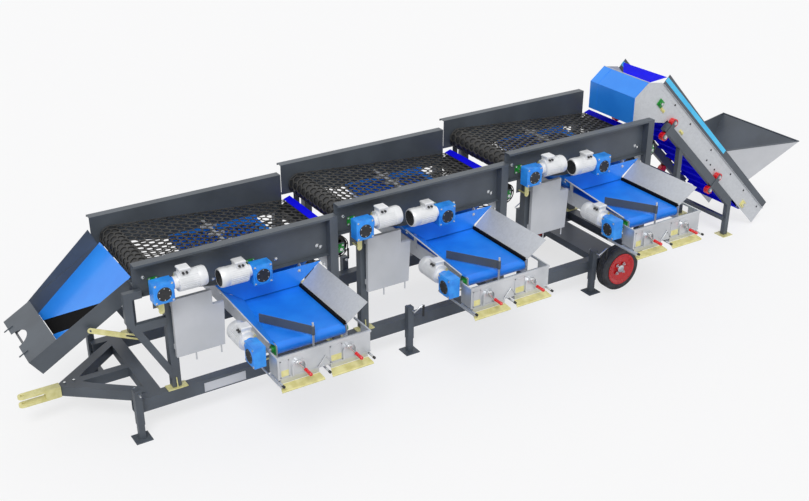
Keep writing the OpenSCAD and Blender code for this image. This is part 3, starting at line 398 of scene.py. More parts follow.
def of_faces(name, what):
    """The center or the normal of each face of a node, as Blender names them."""
    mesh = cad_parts[name].data
    flat = np.empty(len(mesh.polygons) * 3, np.float32)
    mesh.polygons.foreach_get(what, flat)
    return flat.reshape(-1, 3)


def centres(name):
    """Centre of each face of a node, in millimetres."""
    return of_faces(name, "center") * 1000.0 + origin


def dress(name, finish, *others):
    """Gives a node its finish; each other is a finish with a mask that says which faces take it."""
    dress_mesh(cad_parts[name].data, finish, *others)


def dress_mesh(mesh, finish, *others):
    """The same for any mesh."""
    mesh.materials.clear()
    mesh.materials.append(finish)
    index = np.zeros(len(mesh.polygons), np.int32)
    for i, (other, mask) in enumerate(others, 1):
        mesh.materials.append(other)
        index[mask] = i
    mesh.polygons.foreach_set("material_index", index)


def on_deck(points):
    """Points brought back to the lowest deck from the deck that they lie on."""
    left_of_deck = 60
    k = np.clip((points[:, 0] + left_of_deck) // deck_pitch, 0, 2)
    return points - np.column_stack([k * deck_pitch, np.zeros(len(k)), k * deck_step])


def within(points, low, high):
    """Which points lie between two corners."""
    return ((points > low) & (points < high)).all(axis=1)


def elevator_frame(points):
    """X down the elevator's slope and Z square to it, from its head drum."""
    x, z = points[:, 0] - head_drum[0], points[:, 2] - head_drum[1]
    c, s = math.cos(elevator_angle), math.sin(elevator_angle)
    return np.column_stack([x * c - z * s, points[:, 1], x * s + z * c])


def dress_solids():
    """Every carried-over node, with the finish of each of its parts."""
    jacks = [f"jack_leg_{row}_{place}" for row in ("front", "rear") for place in ("left", "middle", "right")]
    plain = ((anthracite, (*jacks, "gate_1", "gate_2", "gate_3", "axle", "chute")),
             (yellow_zinc, ("tow_clevis", "bag_lips", "chute_prop")),
             (red_enamel, ("front_rim", "rear_rim")),
             (bright_steel, ("locking_pins", "elevator_head_drum", "elevator_tail_drum")),
             (primer, ("side_panels", "deck_1_agitator", "deck_2_agitator", "deck_3_agitator")),
             (stainless, ("cross_1_drum", "cross_2_drum", "cross_3_drum")),
             (green_cast, ("flange_bearings",)), (belt_pvc, ("cross_belts",)),
             (polyurethane, ("elevator_belt",)))
    for finish, names in plain:
        for name in names:
            dress(name, finish)
    dress_decks()
    dress_stand()
    dress_gearmotors()


def dress_decks():
    """Decks with straw foot plates, drums with lagging between bright shafts, and what hangs on them."""
    lagging_inset, seal_w, sack_bar = 15, 35, 90
    for k in (1, 2, 3):
        for name in (f"deck_{k}_drive_drum", f"deck_{k}_tail_drum"):
            lagging = np.abs(centres(name)[:, 1]) < belt_half - lagging_inset
            dress(name, bright_steel, (black_plastic, lagging))
        height = centres(f"deck_{k}_frame")[:, 2]
        foot = (height > beam_top - skin) & (height < beam_top + foot_t + skin)
        dress(f"deck_{k}_frame", anthracite, (yellow_zinc, foot))
    frames = on_deck(centres("cross_frames"))
    seal = within(frames, (cross_x + cross_half - seal_w, -2000, cross_top + 1),
                  (cross_x + cross_half + skin, -781, cross_top + 39))
    dress("cross_frames", galvanised, (seal_rubber_and_painted_shade, seal))
    bar_end = on_deck(centres("bag_heads"))[:, 1] < head_front_y - sack_bar + skin
    dress("bag_heads", stainless, (black_plastic, bar_end))


def dress_stand():
    """Chassis, elevator cradle, guide shoes, hood and feed hopper."""
    drawbar_to, beside_trough, shoe_y, leaning = -400, 400, 512.1, 0.3
    chassis = centres("chassis_frame")
    bolts = (chassis[:, 2] > beam_top + skin) & (chassis[:, 0] < drawbar_to)
    dress("chassis_frame", anthracite, (bright_steel, bolts))
    feet = centres("elevator_cradle")[:, 2] < foot_t + skin
    dress("elevator_cradle", anthracite, (yellow_zinc, feet))
    # The hopper's inner faces stay dark anthracite; its outer sides and underside take the pale primer
    hopper, outwards = centres("feed_hopper"), of_faces("feed_hopper", "normal")
    side = (outwards[:, 1] * np.sign(hopper[:, 1]) > leaning) & (np.abs(hopper[:, 1]) > beside_trough)
    underside = outwards[:, 2] < -leaning
    dress("feed_hopper", anthracite, (primer, side | underside))
    hood = centres("elevator_hood")
    inner_sheet = within(hood, (hood_left + 6, -500, hood_low - 20), (7500, 500, hood_low + 80))
    behind_ridge = hood[:, 0] > ridge_x + 1
    dress("elevator_hood", blue_enamel, (polyurethane, inner_sheet | behind_ridge))
    bolted = np.abs(centres("guide_shoes")[:, 1]) > shoe_y
    dress("guide_shoes", red_enamel, (anthracite, bolted))


def dress_gearmotors():
    """Blue housing, dark cover, silver motor and straw torque arm of each unit."""
    cross_units_from = -1100
    found = on_deck(centres("gearmotors"))
    beside_deck = found[:, 1] > cross_units_from
    units = [((found - (place[0], -gear_back, place[1])) * (side, 1, 1), beside_deck, -450)
             for place, side in ((drive, 1), (agitator, -1))]
    cross_unit = (found - (cross_gear_x, cross_y, cross_z))[:, [1, 0, 2]]
    units.append((cross_unit, ~beside_deck, -200))
    cover, motor, arm = (np.zeros(len(found), bool) for _ in range(3))
    for own, here, low in units:
        near = here & within(own, (-150, -200, low), (520, 200, 260))
        cover |= near & (own[:, 1] < -gear_d - skin) & (own[:, 0] < 100)
        motor |= near & (own[:, 0] > motor_from + skin)
        arm |= near & ((own[:, 1] > skin) | (own[:, 2] < -arm_low - skin))
    dress("gearmotors", gear_enamel, (motor_paint, motor), (black_plastic, cover), (yellow_zinc, arm))


dress_solids()


# Sieving belts: the strand of rubber round a hole is widest on the highest deck, whose holes are smallest
link_across, links_round, link_rows = 106.16, 62, 13
strand_lowest, strand_more = 19, 3
belt_edge = link_across * (link_rows // 2)


def sieve_link(strand, step):
    """One rubber link: six rings of twelve points, from the seam on top over the hole to the seam below.

    The outer ring is a hexagon with the middles of its sides, and the hole is that ring drawn in by the
    strand's width. Beside the points come their offsets across by which a link is cut at the belt's edge.
    """
    tall, wide = link_across / 2, 2 / 3 * step
    corners = np.array([(wide, 0), (wide / 2, tall), (-wide / 2, tall), (-wide, 0),
                        (-wide / 2, -tall), (wide / 2, -tall)])
    outline = np.stack([corners, (corners + np.roll(corners, -1, axis=0)) / 2], axis=1).reshape(-1, 2)
    hole = outline * (1 - strand / link_across * np.tile([1.25, 1.0], 6)[:, None])
    shoulder = outline * 0.45 + hole * 0.55
    low, high = -mesh_t / 2, mesh_t / 2 + 4
    middle = (low + high) / 2
    rings = [(outline, high), (shoulder, high - 0.8), (hole, middle + 2), (hole, middle - 2),
             (shoulder, low + 0.8), (outline, low)]
    inset = np.array([0, 0.5, 1, 1, 0.5, 0])[:, None] * strand / 2
    return np.stack([np.column_stack([ring, np.full(len(ring), h)]) for ring, h in rings]), inset


def link_places(step):
    """Middle of each link: rows across the belt, every other column set off by half a link."""
    column = np.arange(links_round)
    row = np.arange(link_rows) - link_rows // 2
    s = np.repeat(column * step, link_rows)
    y = ((row[None, :] - 0.5 * (1 - column[:, None] % 2)) * link_across).ravel()
    used = y > -belt_half - 1
    return np.stack([s[used], y[used], np.zeros(used.sum())], axis=1)


def sieve_strip(strand, step):
    """The belt laid flat: s along the loop, y across and h outwards, with walls along its two edges."""
    link, inset = sieve_link(strand, step)
    rings, round_hole = link.shape[:2]
    points = link[None] + link_places(step)[:, None, None, :]
    points[..., 1] = np.clip(points[..., 1], inset - belt_edge, belt_edge - inset)
    starts = np.arange(len(points))[:, None, None] * rings * round_hole
    faces = (grid(rings, round_hole, False, True)[None] + starts).reshape(-1, 4)
    at_edge = np.abs(points[:, 0, :, 1]) > belt_edge - 0.01
    link_of, j = np.nonzero(at_edge & np.roll(at_edge, -1, axis=1))
    here = link_of * rings * round_hole + j
    following = link_of * rings * round_hole + (j + 1) % round_hole
    below = (rings - 1) * round_hole
    walls = np.stack([here + below, following + below, following, here], axis=1)
    return points.reshape(-1, 3), [faces, walls]


def sieve_belt(k):
    """A loop of hexagonal rubber links, wrapped round the two drums of a deck.

    The flat strip follows the straight runs and turns round each drum, where a length s is the angle
    s / r and h adds to the radius.
    """
    r = drum_r + drum_gap + mesh_t / 2
    slope = tail - drive
    run, arc = np.linalg.norm(slope), math.pi * r
    loop = 2 * run + 2 * arc
    strip, faces = sieve_strip(strand_lowest + strand_more * k, loop / links_round)
    s, h = strip[:, 0] % loop, r + strip[:, 2]
    angle = (np.clip(s - run, 0, arc) + np.clip(s - 2 * run - arc, 0, arc)) / r
    x = np.interp(s, [0, run, run + arc, 2 * run + arc, loop], [0, run, run, 0, 0])
    along, up = x + h * np.sin(angle), h * np.cos(angle)
    u = slope / run
    points = np.column_stack([drive[0] + along * u[0] - up * u[1], strip[:, 1],
                              drive[1] + along * u[1] + up * u[0]])
    made = piece(f"sieve_belt_{k + 1}", (points + at_deck(k), faces), sieve_rubber,
                 sharp=60)
    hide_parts(f"deck_{k + 1}_mesh_belt")


for k in decks:
    sieve_belt(k)


# Wheels
def tyre(side, body, node):
    """A tyre: its section is carried round the axle; the tread's radius dips in three zigzag grooves."""
    bead, shoulder, lugs = rim_r - 20, tyre_r - 10, 30
    section = np.array([(bead, 16), (rim_r + 6, 9), (rim_r + 24, 1), (rim_r + 42, 0), (tyre_r - 34, 1),
                        (tyre_r - 20, 6), (shoulder, 16), (tyre_r - 1, 27)] +
                       [(tyre_r, y) for y in range(31, 90, 4)])
    section = np.vstack([section, (section * (1, -1) + (0, tyre_w))[::-1]])
    section = np.vstack([section, [(bead + 14, tyre_w - 30), (bead + 14, 30)]])
    count = 240
    a = np.arange(count) * 2 * math.pi / count
    r = np.repeat(section[:, :1], count, axis=1)
    y = section[:, 1:]
    zigzag = 5 * np.abs((a[None, :] * lugs / math.pi) % 2 - 1)
    for groove in (0.28, 0.5, 0.72):
        near = np.abs(y - tyre_w * groove - zigzag + 2.5) < 4.5
        r = np.where(near & (section[:, :1] > tyre_r - 0.5), tyre_r - 7, r)
    lug = (np.floor(a * lugs / math.pi) % 2 == 0)[None, :]
    edge = (section[:, :1] > shoulder - 1) & (section[:, :1] < tyre_r - 0.5) & (y > 0)
    r = np.where(edge & lug, r - 4, r)
    points = np.stack([axle_x + r * np.cos(a), np.broadcast_to(-wheel_in - y, r.shape),
                       tyre_r + r * np.sin(a)], axis=-1).reshape(-1, 3)
    shape = points, [grid(len(section), count, True, True)]
    made = piece(node + "_moulded", shape if side < 0 else flipped(shape), tyre_rubber, body,
                 50)
    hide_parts(node)


def wheel_fittings(side, body, name):
    """Hub cap and four wheel nuts with washers, set on the disc."""
    cap_from, nuts_from, bolt_circle = wheel_in + 160, wheel_in + tyre_w - 24, 80
    cap = turning([(0, -19), (40, -19), (52, -12), (55, 0), (0, 0)], 32)
    nut = join(turning([(0, -24), (12, -24), (15, -20), (15, 0), (0, 0)], 6),
               turning([(8, -4), (22, -4), (22, 0), (8, 0)], 20, True))
    a = np.radians([45, 135, 225, 315])
    nuts = np.column_stack([axle_x + bolt_circle * np.cos(a), np.full(4, -nuts_from),
                            tyre_r + bolt_circle * np.sin(a)])
    shape = join(moved(cap, (axle_x, -cap_from, tyre_r)), copies(nut, nuts))
    piece(name, shape if side < 0 else flipped(shape), bright_steel, body)


wheels = ((-1, "front"), (1, "rear"))
for side, place in wheels:
    tyre(side, f"{place}_wheel", f"{place}_tyre")
for side, place in wheels:
    wheel_fittings(side, f"{place}_wheel", f"{place}_wheel_nuts")


# Screws
def screw(across, height):
    """Hexagon head with a chamfered crown on a washer, standing on Y = 0 and pointing to -Y."""
    r = across / math.sqrt(3)
    head = turning([(0, -height), (r * 0.8, -height), (r, -height * 0.85), (r, 0), (0, 0)], 6)
    rim = -height * 0.2
    washer = turning([(r * 0.5, rim), (r * 1.25, rim), (r * 1.25, 0), (r * 0.5, 0)], 16, True)
    return join(head, washer)


# The upper ones hold the web, the lower ones the catch hopper's curtain
rail_screws = [(117, 1852), (894, 1617), (921, 1488), (1643, 1661), (1879, 1493), (2192, 1493),
               (2163, 1694), (2208, 1667)]
curtain_high = 1560
web_screws = copies(screw(30, 14), [(x, -web_y, z) for x, z in rail_screws if z > curtain_high])
piece("web_screws", on_every_deck(both_sides(web_screws)), bright_steel)


def bearing_screws():
    """Four screws in the corners of each flanged bearing."""
    corners = [(x, z) for x in (-36, 36) for z in (-36, 36)]
    flange = web_y + 12
    spots = [(place[0] + x, -flange, place[1] + z) for place in (drive, tail, agitator) for x, z in corners]
    return copies(screw(18, 10), spots)


piece("bearing_screws", on_every_deck(both_sides(bearing_screws())), bright_steel)


# Catch hoppers
hopper_y, curtain_y = web_y - sheet_t - thin / 2 - seat, 764
mouth_top, mouth, floor_z = 1605, 1545, 1325


def catch_hopper():
    """Blue sheets that lead the fallen crop from under a deck to its cross belt."""
    wall = [(895, mouth_top), (895, mouth), (1095, floor_z), (1865, floor_z), (2045, mouth),
            (2045, mouth_top)]
    front = prism(wall, -hopper_y - thin / 2, -hopper_y + thin / 2)
    curtain = prism([(894, mouth), (1195, 1312), (1885, 1312), (1885, 1345), (2155, mouth)],
                    -curtain_y - thin / 2, -curtain_y + thin / 2)
    slopes = [sheet([(high_x, -hopper_y, mouth), (low_x, -hopper_y, floor_z),
                     (low_x, hopper_y, floor_z), (high_x, hopper_y, mouth)], thin)
              for high_x, low_x in ((895, 1095), (2045, 1865))]
    return join(both_sides(front), curtain, *slopes, sheet(skirt_corners(), thin))


def skirt_corners():
    """Corners of the sloping sheet on the left of the cross belt, along the deck, down and back."""
    a = np.array([1195.0, -curtain_y, 1308.0])
    b = np.array([910.0, -curtain_y, 1520.0])
    c = np.array([1055.0, -1805.0, 1308.0])
    face = np.cross(b - a, c - a)
    d = np.array([990.0, c[1], 0])
    d[2] = a[2] - (face[0] * (d[0] - a[0]) + face[1] * (d[1] - a[1])) / face[2]
    return [a, b, d, c]


def feed_plate():
    """Deep blue plate that bridges the gap between a belt and the next deck."""
    low, high = (2400, 1728), (2486, 1757)
    corners = [(low, -1), (high, -1), (high, 1), (low, 1)]
    return sheet([(x, side * belt_half, z) for (x, z), side in corners], sheet_t)


def skirt_edge():
    """Rolled edge along the skirt's free side, and the plate that closes its deck end."""
    top, foot = skirt_corners()[1:3]
    raised = (-4, 0, 4)
    y = -web_y - 4
    plate = sheet([(2150, y, 1556), (2285, y, 1370), (2285, y, 1560)], thin)
    return join(bar([top + raised, foot + raised], 8), plate)


hoppers = piece("catch_hopper_sheets", on_every_deck(catch_hopper()), blue_enamel)
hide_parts("catch_hoppers")
piece("feed_plates", on_every_deck(feed_plate()), polyurethane)
piece("skirt_edges", on_every_deck(skirt_edge()), galvanised)


# Chute floor and guard
def in_chute(x, across, z):
    """A point given in the chute's own frame, whose X runs up its slope."""
    c, s = math.cos(chute_angle), math.sin(chute_angle)
    return (chute_top[0] + x * c - z * s, across, chute_top[1] + x * s + z * c)


def chute_floor(outline):
    """A sheet of the chute's floor from its outline, given as distance down the slope and place across."""
    start, run = np.array([50.0, 2.0]), np.array([-1020.0, -197.0])
    u = run / np.linalg.norm(run)
    return sheet([in_chute(start[0] + u[0] * down, across, start[1] + u[1] * down)
                  for down, across in outline], thin)


def chute_guard():
    """Upright sheet along the chute's far edge, which covers the wall's folded rim."""
    y, lip = 502.5, -968
    return sheet([in_chute(lip, y, -195), in_chute(20, y, -4), in_chute(42, y, 216), in_chute(lip, y, 0)],
                 thin)


# The outlet opening crosses the floor from its near edge to its foot; a near-black sheet laid in it is
# painted shade, the dark seen through the opening
floor_half, floor_len = 495, 1036
outlet = [(317, -floor_half), (596, -floor_half), (floor_len - 5, -56), (floor_len - 5, 307)]
above_outlet = [(0, -floor_half), outlet[0], outlet[3], (floor_len, 307), (floor_len, floor_half),
                (0, floor_half)]
below_outlet = [outlet[1], (floor_len, -floor_half), (floor_len, -56), outlet[2]]
blue_floor = join(chute_floor(above_outlet), chute_floor(below_outlet))
liner = piece("chute_floor", blue_floor, blue_enamel, "chute_body")
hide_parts("chute_liner")
# Near-black sheet in the outlet opening: painted shade, not a part of the chute
piece("chute_outlet_painted_shade", chute_floor(outlet), seal_rubber_and_painted_shade, "chute_body")
piece("chute_guard", chute_guard(), anthracite, "chute_body")


# Elevator
def on_slope(shape):
    """A shape drawn in the elevator's own frame, laid on its slope."""
    c, s = math.cos(elevator_angle), math.sin(elevator_angle)
    x, y, z = shape[0].T
    return np.column_stack([head_drum[0] + x * c + z * s, y, head_drum[1] - x * s + z * c]), shape[1]


def elevator_trough():
    """The trough's own faces up to the top of its side boards, with the finish of each part."""
    name = "elevator_trough"
    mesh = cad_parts[name].data
    flat = np.empty(len(mesh.vertices) * 3, np.float32)
    mesh.vertices.foreach_get("co", flat)
    corners = np.empty(len(mesh.loops), np.int32)
    mesh.loops.foreach_get("vertex_index", corners)
    middle = elevator_frame(centres(name))
    keep = middle[:, 2] < board_top + skin
    used = corners.reshape(-1, 3)[keep]
    points = flat.reshape(-1, 3)[used].reshape(-1, 3) * 1000.0 + origin
    faces = np.arange(len(points)).reshape(-1, 3)
    made = piece("elevator_sides", (points, [faces]), galvanised)
    x, y, z = middle[keep].T
    board = z > plate_top + skin
    bearing = (np.abs(y) > trough_half + skin) & (np.abs(z) < 80)
    at_head = bearing & (x < 200)
    dress_mesh(made.data, galvanised, (anthracite, board), (green_cast, at_head),
               (yellow_zinc, bearing & ~at_head))
    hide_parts(name)


elevator_trough()
board_from, board_to, guard_to = -175, elevator_span + 455, 1690
guard = block((board_from, -trough_half - 3, 255), (guard_to, -trough_half + 9, board_top + 3))
piece("board_guards", on_slope(both_sides(guard)), guard_plastic)
side_flange = block((board_from, -trough_half - 2, 137), (board_to, -trough_half + 1, plate_top - 2))
piece("side_flanges", on_slope(both_sides(side_flange)), galvanised)


def rim_bars():
    """Round edge along the three free sides of the feed hopper."""
    c = math.cos(elevator_angle)
    start = head_drum[0] + (guard_to + board_top) * c
    level = head_drum[1] - (guard_to - board_top) * c
    end, half, near = 10200, 750, trough_half + 4
    side = bar([(start, -near, level), (end - 4, -half + 4, level)], 9)
    across = bar([(end - 8, -half, level), (end - 8, half, level)], 9)
    return join(both_sides(side), across)


piece("hopper_rim", rim_bars(), anthracite)

ridge_edge = block((ridge_x - 8, -450, ridge_z + 1), (ridge_x + 3, 450, ridge_z + 9))
lap_from, lap_to = 292, 446
lap = block((hood_left - 7, lap_from, hood_low), (hood_left - 4, lap_to, hood_shoulder - 4))
lap_top = sheet([(hood_left - 6, lap_to, hood_shoulder), (hood_left - 6, lap_from, hood_shoulder),
                 (ridge_x - 5, lap_from, ridge_z + 3), (ridge_x - 5, lap_to, ridge_z + 3)], 7)
piece("hood_edge", ridge_edge, galvanised)
piece("hood_laps", join(lap, lap_top), blue_enamel)


# Screws of the elevator
def adjuster():
    """Slotted plate with two nuts that sets a bearing or a shoe."""
    plate = block((-50, -6, -22), (50, 0, 22))
    return join(plate, copies(screw(24, 16), [(-26, -6, 0), (26, -6, 0)]))


flange_screws = [(x, -trough_half - 2, 147) for x in (254, 733, 1419, 2097, 2569, 3060)]
plate_screws = [(x, -trough_half, 0) for x in (1479, 1603, 1739)]
trough_screws = copies(screw(20, 8), flange_screws + plate_screws)
piece("trough_screws", on_slope(both_sides(trough_screws)), black_plastic)
adjusters = copies(adjuster(), [(112, -trough_half, -38), (681, -trough_half, -31)])
piece("trough_adjusters", on_slope(both_sides(adjusters)), yellow_zinc)
shoe_screws = copies(screw(38, 18), [(x, -520, z) for x in (400, 1850) for z in (-42, -278)])
piece("shoe_screws", on_slope(both_sides(shoe_screws)), bright_steel)


# Gear units and motors: drawn about the output shaft, the cover to -Y and the motor to +X
def bevelled(outline, rings):
    """An outline about the Z axis carried through rings, each a height and a share of its size."""
    n = len(outline)
    points = np.vstack([np.column_stack([outline * share, np.full(n, z)]) for z, share in rings])
    first, last = np.arange(n)[None, ::-1], np.arange(n)[None, :] + (len(rings) - 1) * n
    return points, [grid(len(rings), n, False, True), first, last]


def gear_case():
    """Squared cast case with bevelled front edges, round the housing of a gear unit."""
    half, round_off, bevel = 113, 16, 7
    centre = np.array([half, half + 8]) - round_off
    a = np.radians(np.arange(0, 90, 18))
    arc = np.column_stack([np.cos(a), np.sin(a)]) * round_off + centre
    outline = np.vstack([arc, arc[::-1] * (-1, 1), -arc, arc[::-1] * (1, -1)]) + (0, 10)
    points, faces = bevelled(outline, [(4, 1), (gear_d - 4, 1), (gear_d + 2, 1 - bevel / half)])
    return points[:, [0, 2, 1]] * (1, -1, 1), faces


def cover_ring():
    """Raised seat round the cover."""
    return turning([(96, -gear_d), (94, cover_seat), (80, cover_seat), (80, -gear_d)], 40, True)


def case_screws():
    """Six small screws round the cover and one at each corner of the case."""
    a = np.radians(np.arange(30, 390, 60))
    ring = np.column_stack([66 * np.cos(a), np.full(6, cover_seat), 66 * np.sin(a)])
    corner = [(x, -gear_d - 2, z) for x in (-92, 92) for z in (-88, 108)]
    return join(copies(screw(12, 5), ring), copies(screw(18, 8), corner))


def cover_disc():
    """Dark end cover with a shallow dished middle."""
    profile = [(0, 1), (30, -1), (58, -1), (76, -3), (79, 0), (79, 6), (0, 6)]
    return turning(np.add(profile, (0, cover_seat)), 40)


def on_motor(shape, x, turn=0.0):
    """A shape drawn about X and turned about it, set on the motor's axis."""
    points, faces = shape
    c, s = math.cos(turn), math.sin(turn)
    points = points @ np.array([(1, 0, 0), (0, c, s), (0, -s, c)])
    return moved((points, faces), (x, motor_y, motor_up))


def motor_fins():
    """Cooling fins along the motor, left out under the terminal box."""
    foot, height, length, half_t = motor_r - 1.5, 7, 205, 1.6
    turn = np.radians(np.arange(0, 360, 11.25))
    beside_box = np.abs(turn - math.pi / 2) > 0.6
    fin = block((0, -half_t, foot), (length, half_t, foot + height))
    return join(*[on_motor(fin, motor_from + 55, v - math.pi / 2) for v in turn[beside_box]])


def motor_cowl():
    """Fan cowl: a thin drum over the motor's free end."""
    beyond_motor = [(3, -78), (5, -70), (5, -6), (-4, 14), (-14, 16), (-14, 12), (1, -10), (1, -78)]
    profile = [(motor_r + r, x) for r, x in beyond_motor]
    return on_motor(turned(turning(profile, 48, True), (1, 0, 0)), motor_end)


def cowl_grille():
    """Dark fan grille in the end of the cowl, pressed in rings."""
    r = np.array([0, 14, 20, 34, 40, 54, 60, 74, 80, 92])
    profile = np.vstack([np.column_stack([r, np.tile([18, 15], 5)]), [(92, 10), (0, 10)]])
    return on_motor(turned(turning(profile, 48), (1, 0, 0)), motor_end)


def terminal_lid():
    """Bevelled lid on the terminal box."""
    x, y = 63, 62
    outline = np.array([(-x, -y), (x, -y), (x, y), (-x, y)])
    lid = bevelled(outline, [(-10, 1), (4, 1), (12, 0.86)])
    return moved(lid, (motor_from + 125, motor_y, motor_up + motor_r + 44))


def cable_glands():
    """Two dark glands in the near side of the terminal box."""
    gland = turning([(0, -26), (9, -26), (13, -20), (13, 0), (0, 0)], 16)
    z = motor_up + motor_r + 6
    return copies(gland, [(motor_from + x, motor_y - 55, z) for x in (102, 142)])


def on_gear_units(shape):
    """The shape on the drive, the agitator and the cross belt units of every deck."""
    drive_unit = moved(shape, (drive[0], -gear_back, drive[1]))
    mirrored = flipped(shape, 0)
    agitator_unit = moved(mirrored, (agitator[0], -gear_back, agitator[1]))
    x, y, z = mirrored[0].T
    cross_unit = moved((np.column_stack([y, -x, z]), mirrored[1]), (cross_gear_x, cross_y, cross_z))
    return on_every_deck(join(drive_unit, agitator_unit, cross_unit))


piece("gear_cases", on_gear_units(join(gear_case(), cover_ring())), gear_enamel)
piece("gear_covers", on_gear_units(cover_disc()), black_plastic)
piece("gear_screws", on_gear_units(case_screws()), bright_steel)
piece("motor_fins", on_gear_units(join(motor_fins(), motor_cowl(), terminal_lid())), motor_paint)
piece("motor_grilles", on_gear_units(join(cowl_grille(), cable_glands())), black_plastic)


# Bagging heads
lever_y, lever_z, head_x1 = head_front_y - 39, head_low + 165, head_x0 + head_w
lever_x = (head_x0 + 222.5, head_x1 - 272.5)
head_middle = (head_x0 + head_x1) / 2
front_y = head_front_y - sheet_t


def head_rails():
    """Folded rails round the top of a head, carried back beside the cross belt, and one at its foot."""
    low, high, back = head_top - 8, head_top + 14, head_front_y + 330
    near = head_front_y + 8
    front = block((head_x0 - 9, head_front_y - 14, low), (head_x1 + 9, near, high))
    sides = [block((x - 9, near, low), (x + 9, back, high)) for x in (head_x0, head_x1)]
    foot = block((head_x0 - 2, front_y - 5, head_low - 4), (head_x1 + 2, front_y, head_low + 10))
    return join(front, *sides, foot)


def clamp_arch(x):
    """Arched strap round a clamp lever."""
    a = np.radians(np.arange(0, 181, 12))
    arc = np.column_stack([np.cos(a), np.sin(a)])
    middle, outer, inner, low = (x, lever_z - 62), 84, 66, head_low + 4
    outline = np.vstack([arc * outer + middle, [(x - outer, low), (x - inner, low)],
                         arc[::-1] * inner + middle, [(x + inner, low), (x + outer, low)]])
    return prism(outline, front_y - 24, front_y)


def sack_hook():
    """Bent rod in the middle of the front that holds the sacks' edges."""
    bends = [(-88, 4), (-84, 12), (0, 118), (84, 12), (88, 4)]
    return bar([(head_middle + x, head_front_y - 14, head_low + z) for x, z in bends], 7)


def window_frame(x0, x1):
    """Pressed rim of an inspection window in the front."""
    z0, z1, width, out = head_low + 14, head_top - 34, 9, front_y - 6
    uprights = [block((x, out, z0), (x + width, front_y, z1)) for x in (x0, x1 - width)]
    ends = [block((x0, out, z), (x1, front_y, z + width)) for z in (z0, z1 - width)]
    return join(*uprights, *ends)


def window_flap(x0, x1):
    """Plated flap in the lower part of a window."""
    return block((x0 + 9, front_y - 2, head_low + 22), (x1 - 9, front_y, head_low + 92))


windows = ((head_x0 + 27, head_x0 + 130), (head_middle + 60, lever_x[1] - 70))
arches = [clamp_arch(x + 15) for x in lever_x]
frames = [window_frame(*w) for w in windows]
tubes = [bar([(x, -1600, z), (x, head_front_y - 84, z)], 9) for x, z in ((949, 1006), (966, 982))]
front_fittings = join(head_rails(), *arches, *frames, sack_hook(), *tubes)
flaps = join(*[window_flap(*w) for w in windows])
piece("head_rails", on_every_deck(front_fittings), stainless)
piece("head_flaps", on_every_deck(flaps), yellow_zinc)

# The grip hangs from the lever's cranked arm, beside the pin
grip_x, grip_z = 62, -95


def lever_arm():
    """Cranked arm of a clamp lever, about its pin."""
    bore, half = 8.2, 22
    profile = [(18, -half), (20, -18), (20, 18), (18, half), (bore, half), (bore, -half)]
    sleeve = turned(turning(profile, 24, True), (1, 0, 0))
    arm = bar([(0, 0, -6), (8, -2, -30), (44, -6, -78), (grip_x, -8, grip_z + 1)], 9)
    socket = turning([(0, -30), (15, -30), (17, -26), (17, 8), (14, 12), (0, 12)], 20)
    return join(sleeve, arm, moved(socket, (grip_x, 0, grip_z)))


def lever_grip():
    """Moulded grip with a rounded end and a waist."""
    profile = [(0, -160), (12, -158), (19, -150), (20, -136), (18, -100), (18, -70), (20, -40),
               (20, -31), (0, -31)]
    return moved(turning(profile, 24), (grip_x, 0, grip_z))


for k in decks:
    for x, side in zip(lever_x, ("left", "right")):
        lever = f"{k + 1}_{side}"
        body = f"clamp_{lever}"
        spot = at_deck(k) + (x, lever_y, lever_z)
        arm = piece(f"clamp_arm_{lever}", moved(lever_arm(), spot), bright_steel, body)
        piece(f"clamp_grip_{lever}", moved(lever_grip(), spot), red_enamel, body)
        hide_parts(f"clamp_lever_{lever}")


def sack_lip(i):
    """Flat tray under an outlet, wider at its free edge, with a rounded fold along that edge.

    Each row of points runs across the tray; the rows follow it out along Y and then round the fold.
    """
    outlet_x = head_x0 + 30 + i * (outlet_w + outlet_gap)
    run, drop, radius, flare = 88, 22, 12, 34
    turn = np.radians(np.linspace(0, 150, 9))[1:]
    y = np.concatenate([[0, run], run + radius * np.sin(turn)])
    z = np.concatenate([[0, -drop], -drop - radius * (1 - np.cos(turn))])
    widened = np.where(y > 0, flare, 0)[:, None]
    across = np.linspace(0, 1, 7)
    left, right = outlet_x - 4 - widened, outlet_x + outlet_w + 0.4 * widened
    x = left + (right - left) * across
    top = np.stack([x, np.broadcast_to(head_front_y - 4 - y[:, None], x.shape),
                    np.broadcast_to(head_low - 62 + z[:, None], x.shape)], axis=-1)
    below = top + (0, 1.5, -3)
    n = x.size
    index = np.arange(n).reshape(x.shape)
    rim = np.concatenate([index[0, :-1], index[:-1, -1], index[-1, :0:-1], index[:0:-1, 0]])
    walls = np.stack([rim, np.roll(rim, -1), np.roll(rim, -1) + n, rim + n], axis=1)
    faces = grid(*x.shape)
    return np.vstack([top.reshape(-1, 3), below.reshape(-1, 3)]), [faces[:, ::-1], faces + n, walls]


lips = piece("sack_lips", on_every_deck(join(sack_lip(0), sack_lip(1))), yellow_zinc)
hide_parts("bag_lips")


# Small parts of the frame
curtain_screws = [(x, -curtain_y - thin / 2, z) for x, z in rail_screws if z < curtain_high]
piece("curtain_screws", on_every_deck(copies(screw(26, 12), curtain_screws)), bright_steel)
rod_y, rod_foot = -758, beam_top + foot_t
foot_rod = bar([(345, rod_y, rod_foot), (337, rod_y, rod_foot + 132)], 7)
piece("foot_rods", copies(foot_rod, [(k * deck_pitch, 0, 0) for k in decks]), yellow_zinc)
plate = block((642, -773, 310), (1144, -769, 420))
raised = block((652, -774.5, 320), (1134, -772, 410))
piece("beam_plate", join(plate, raised), primer)

# The crank turns beside its jack, and its grip hangs from the end of its arm
crank_y, crank_reach = -jack_y - 118, 129


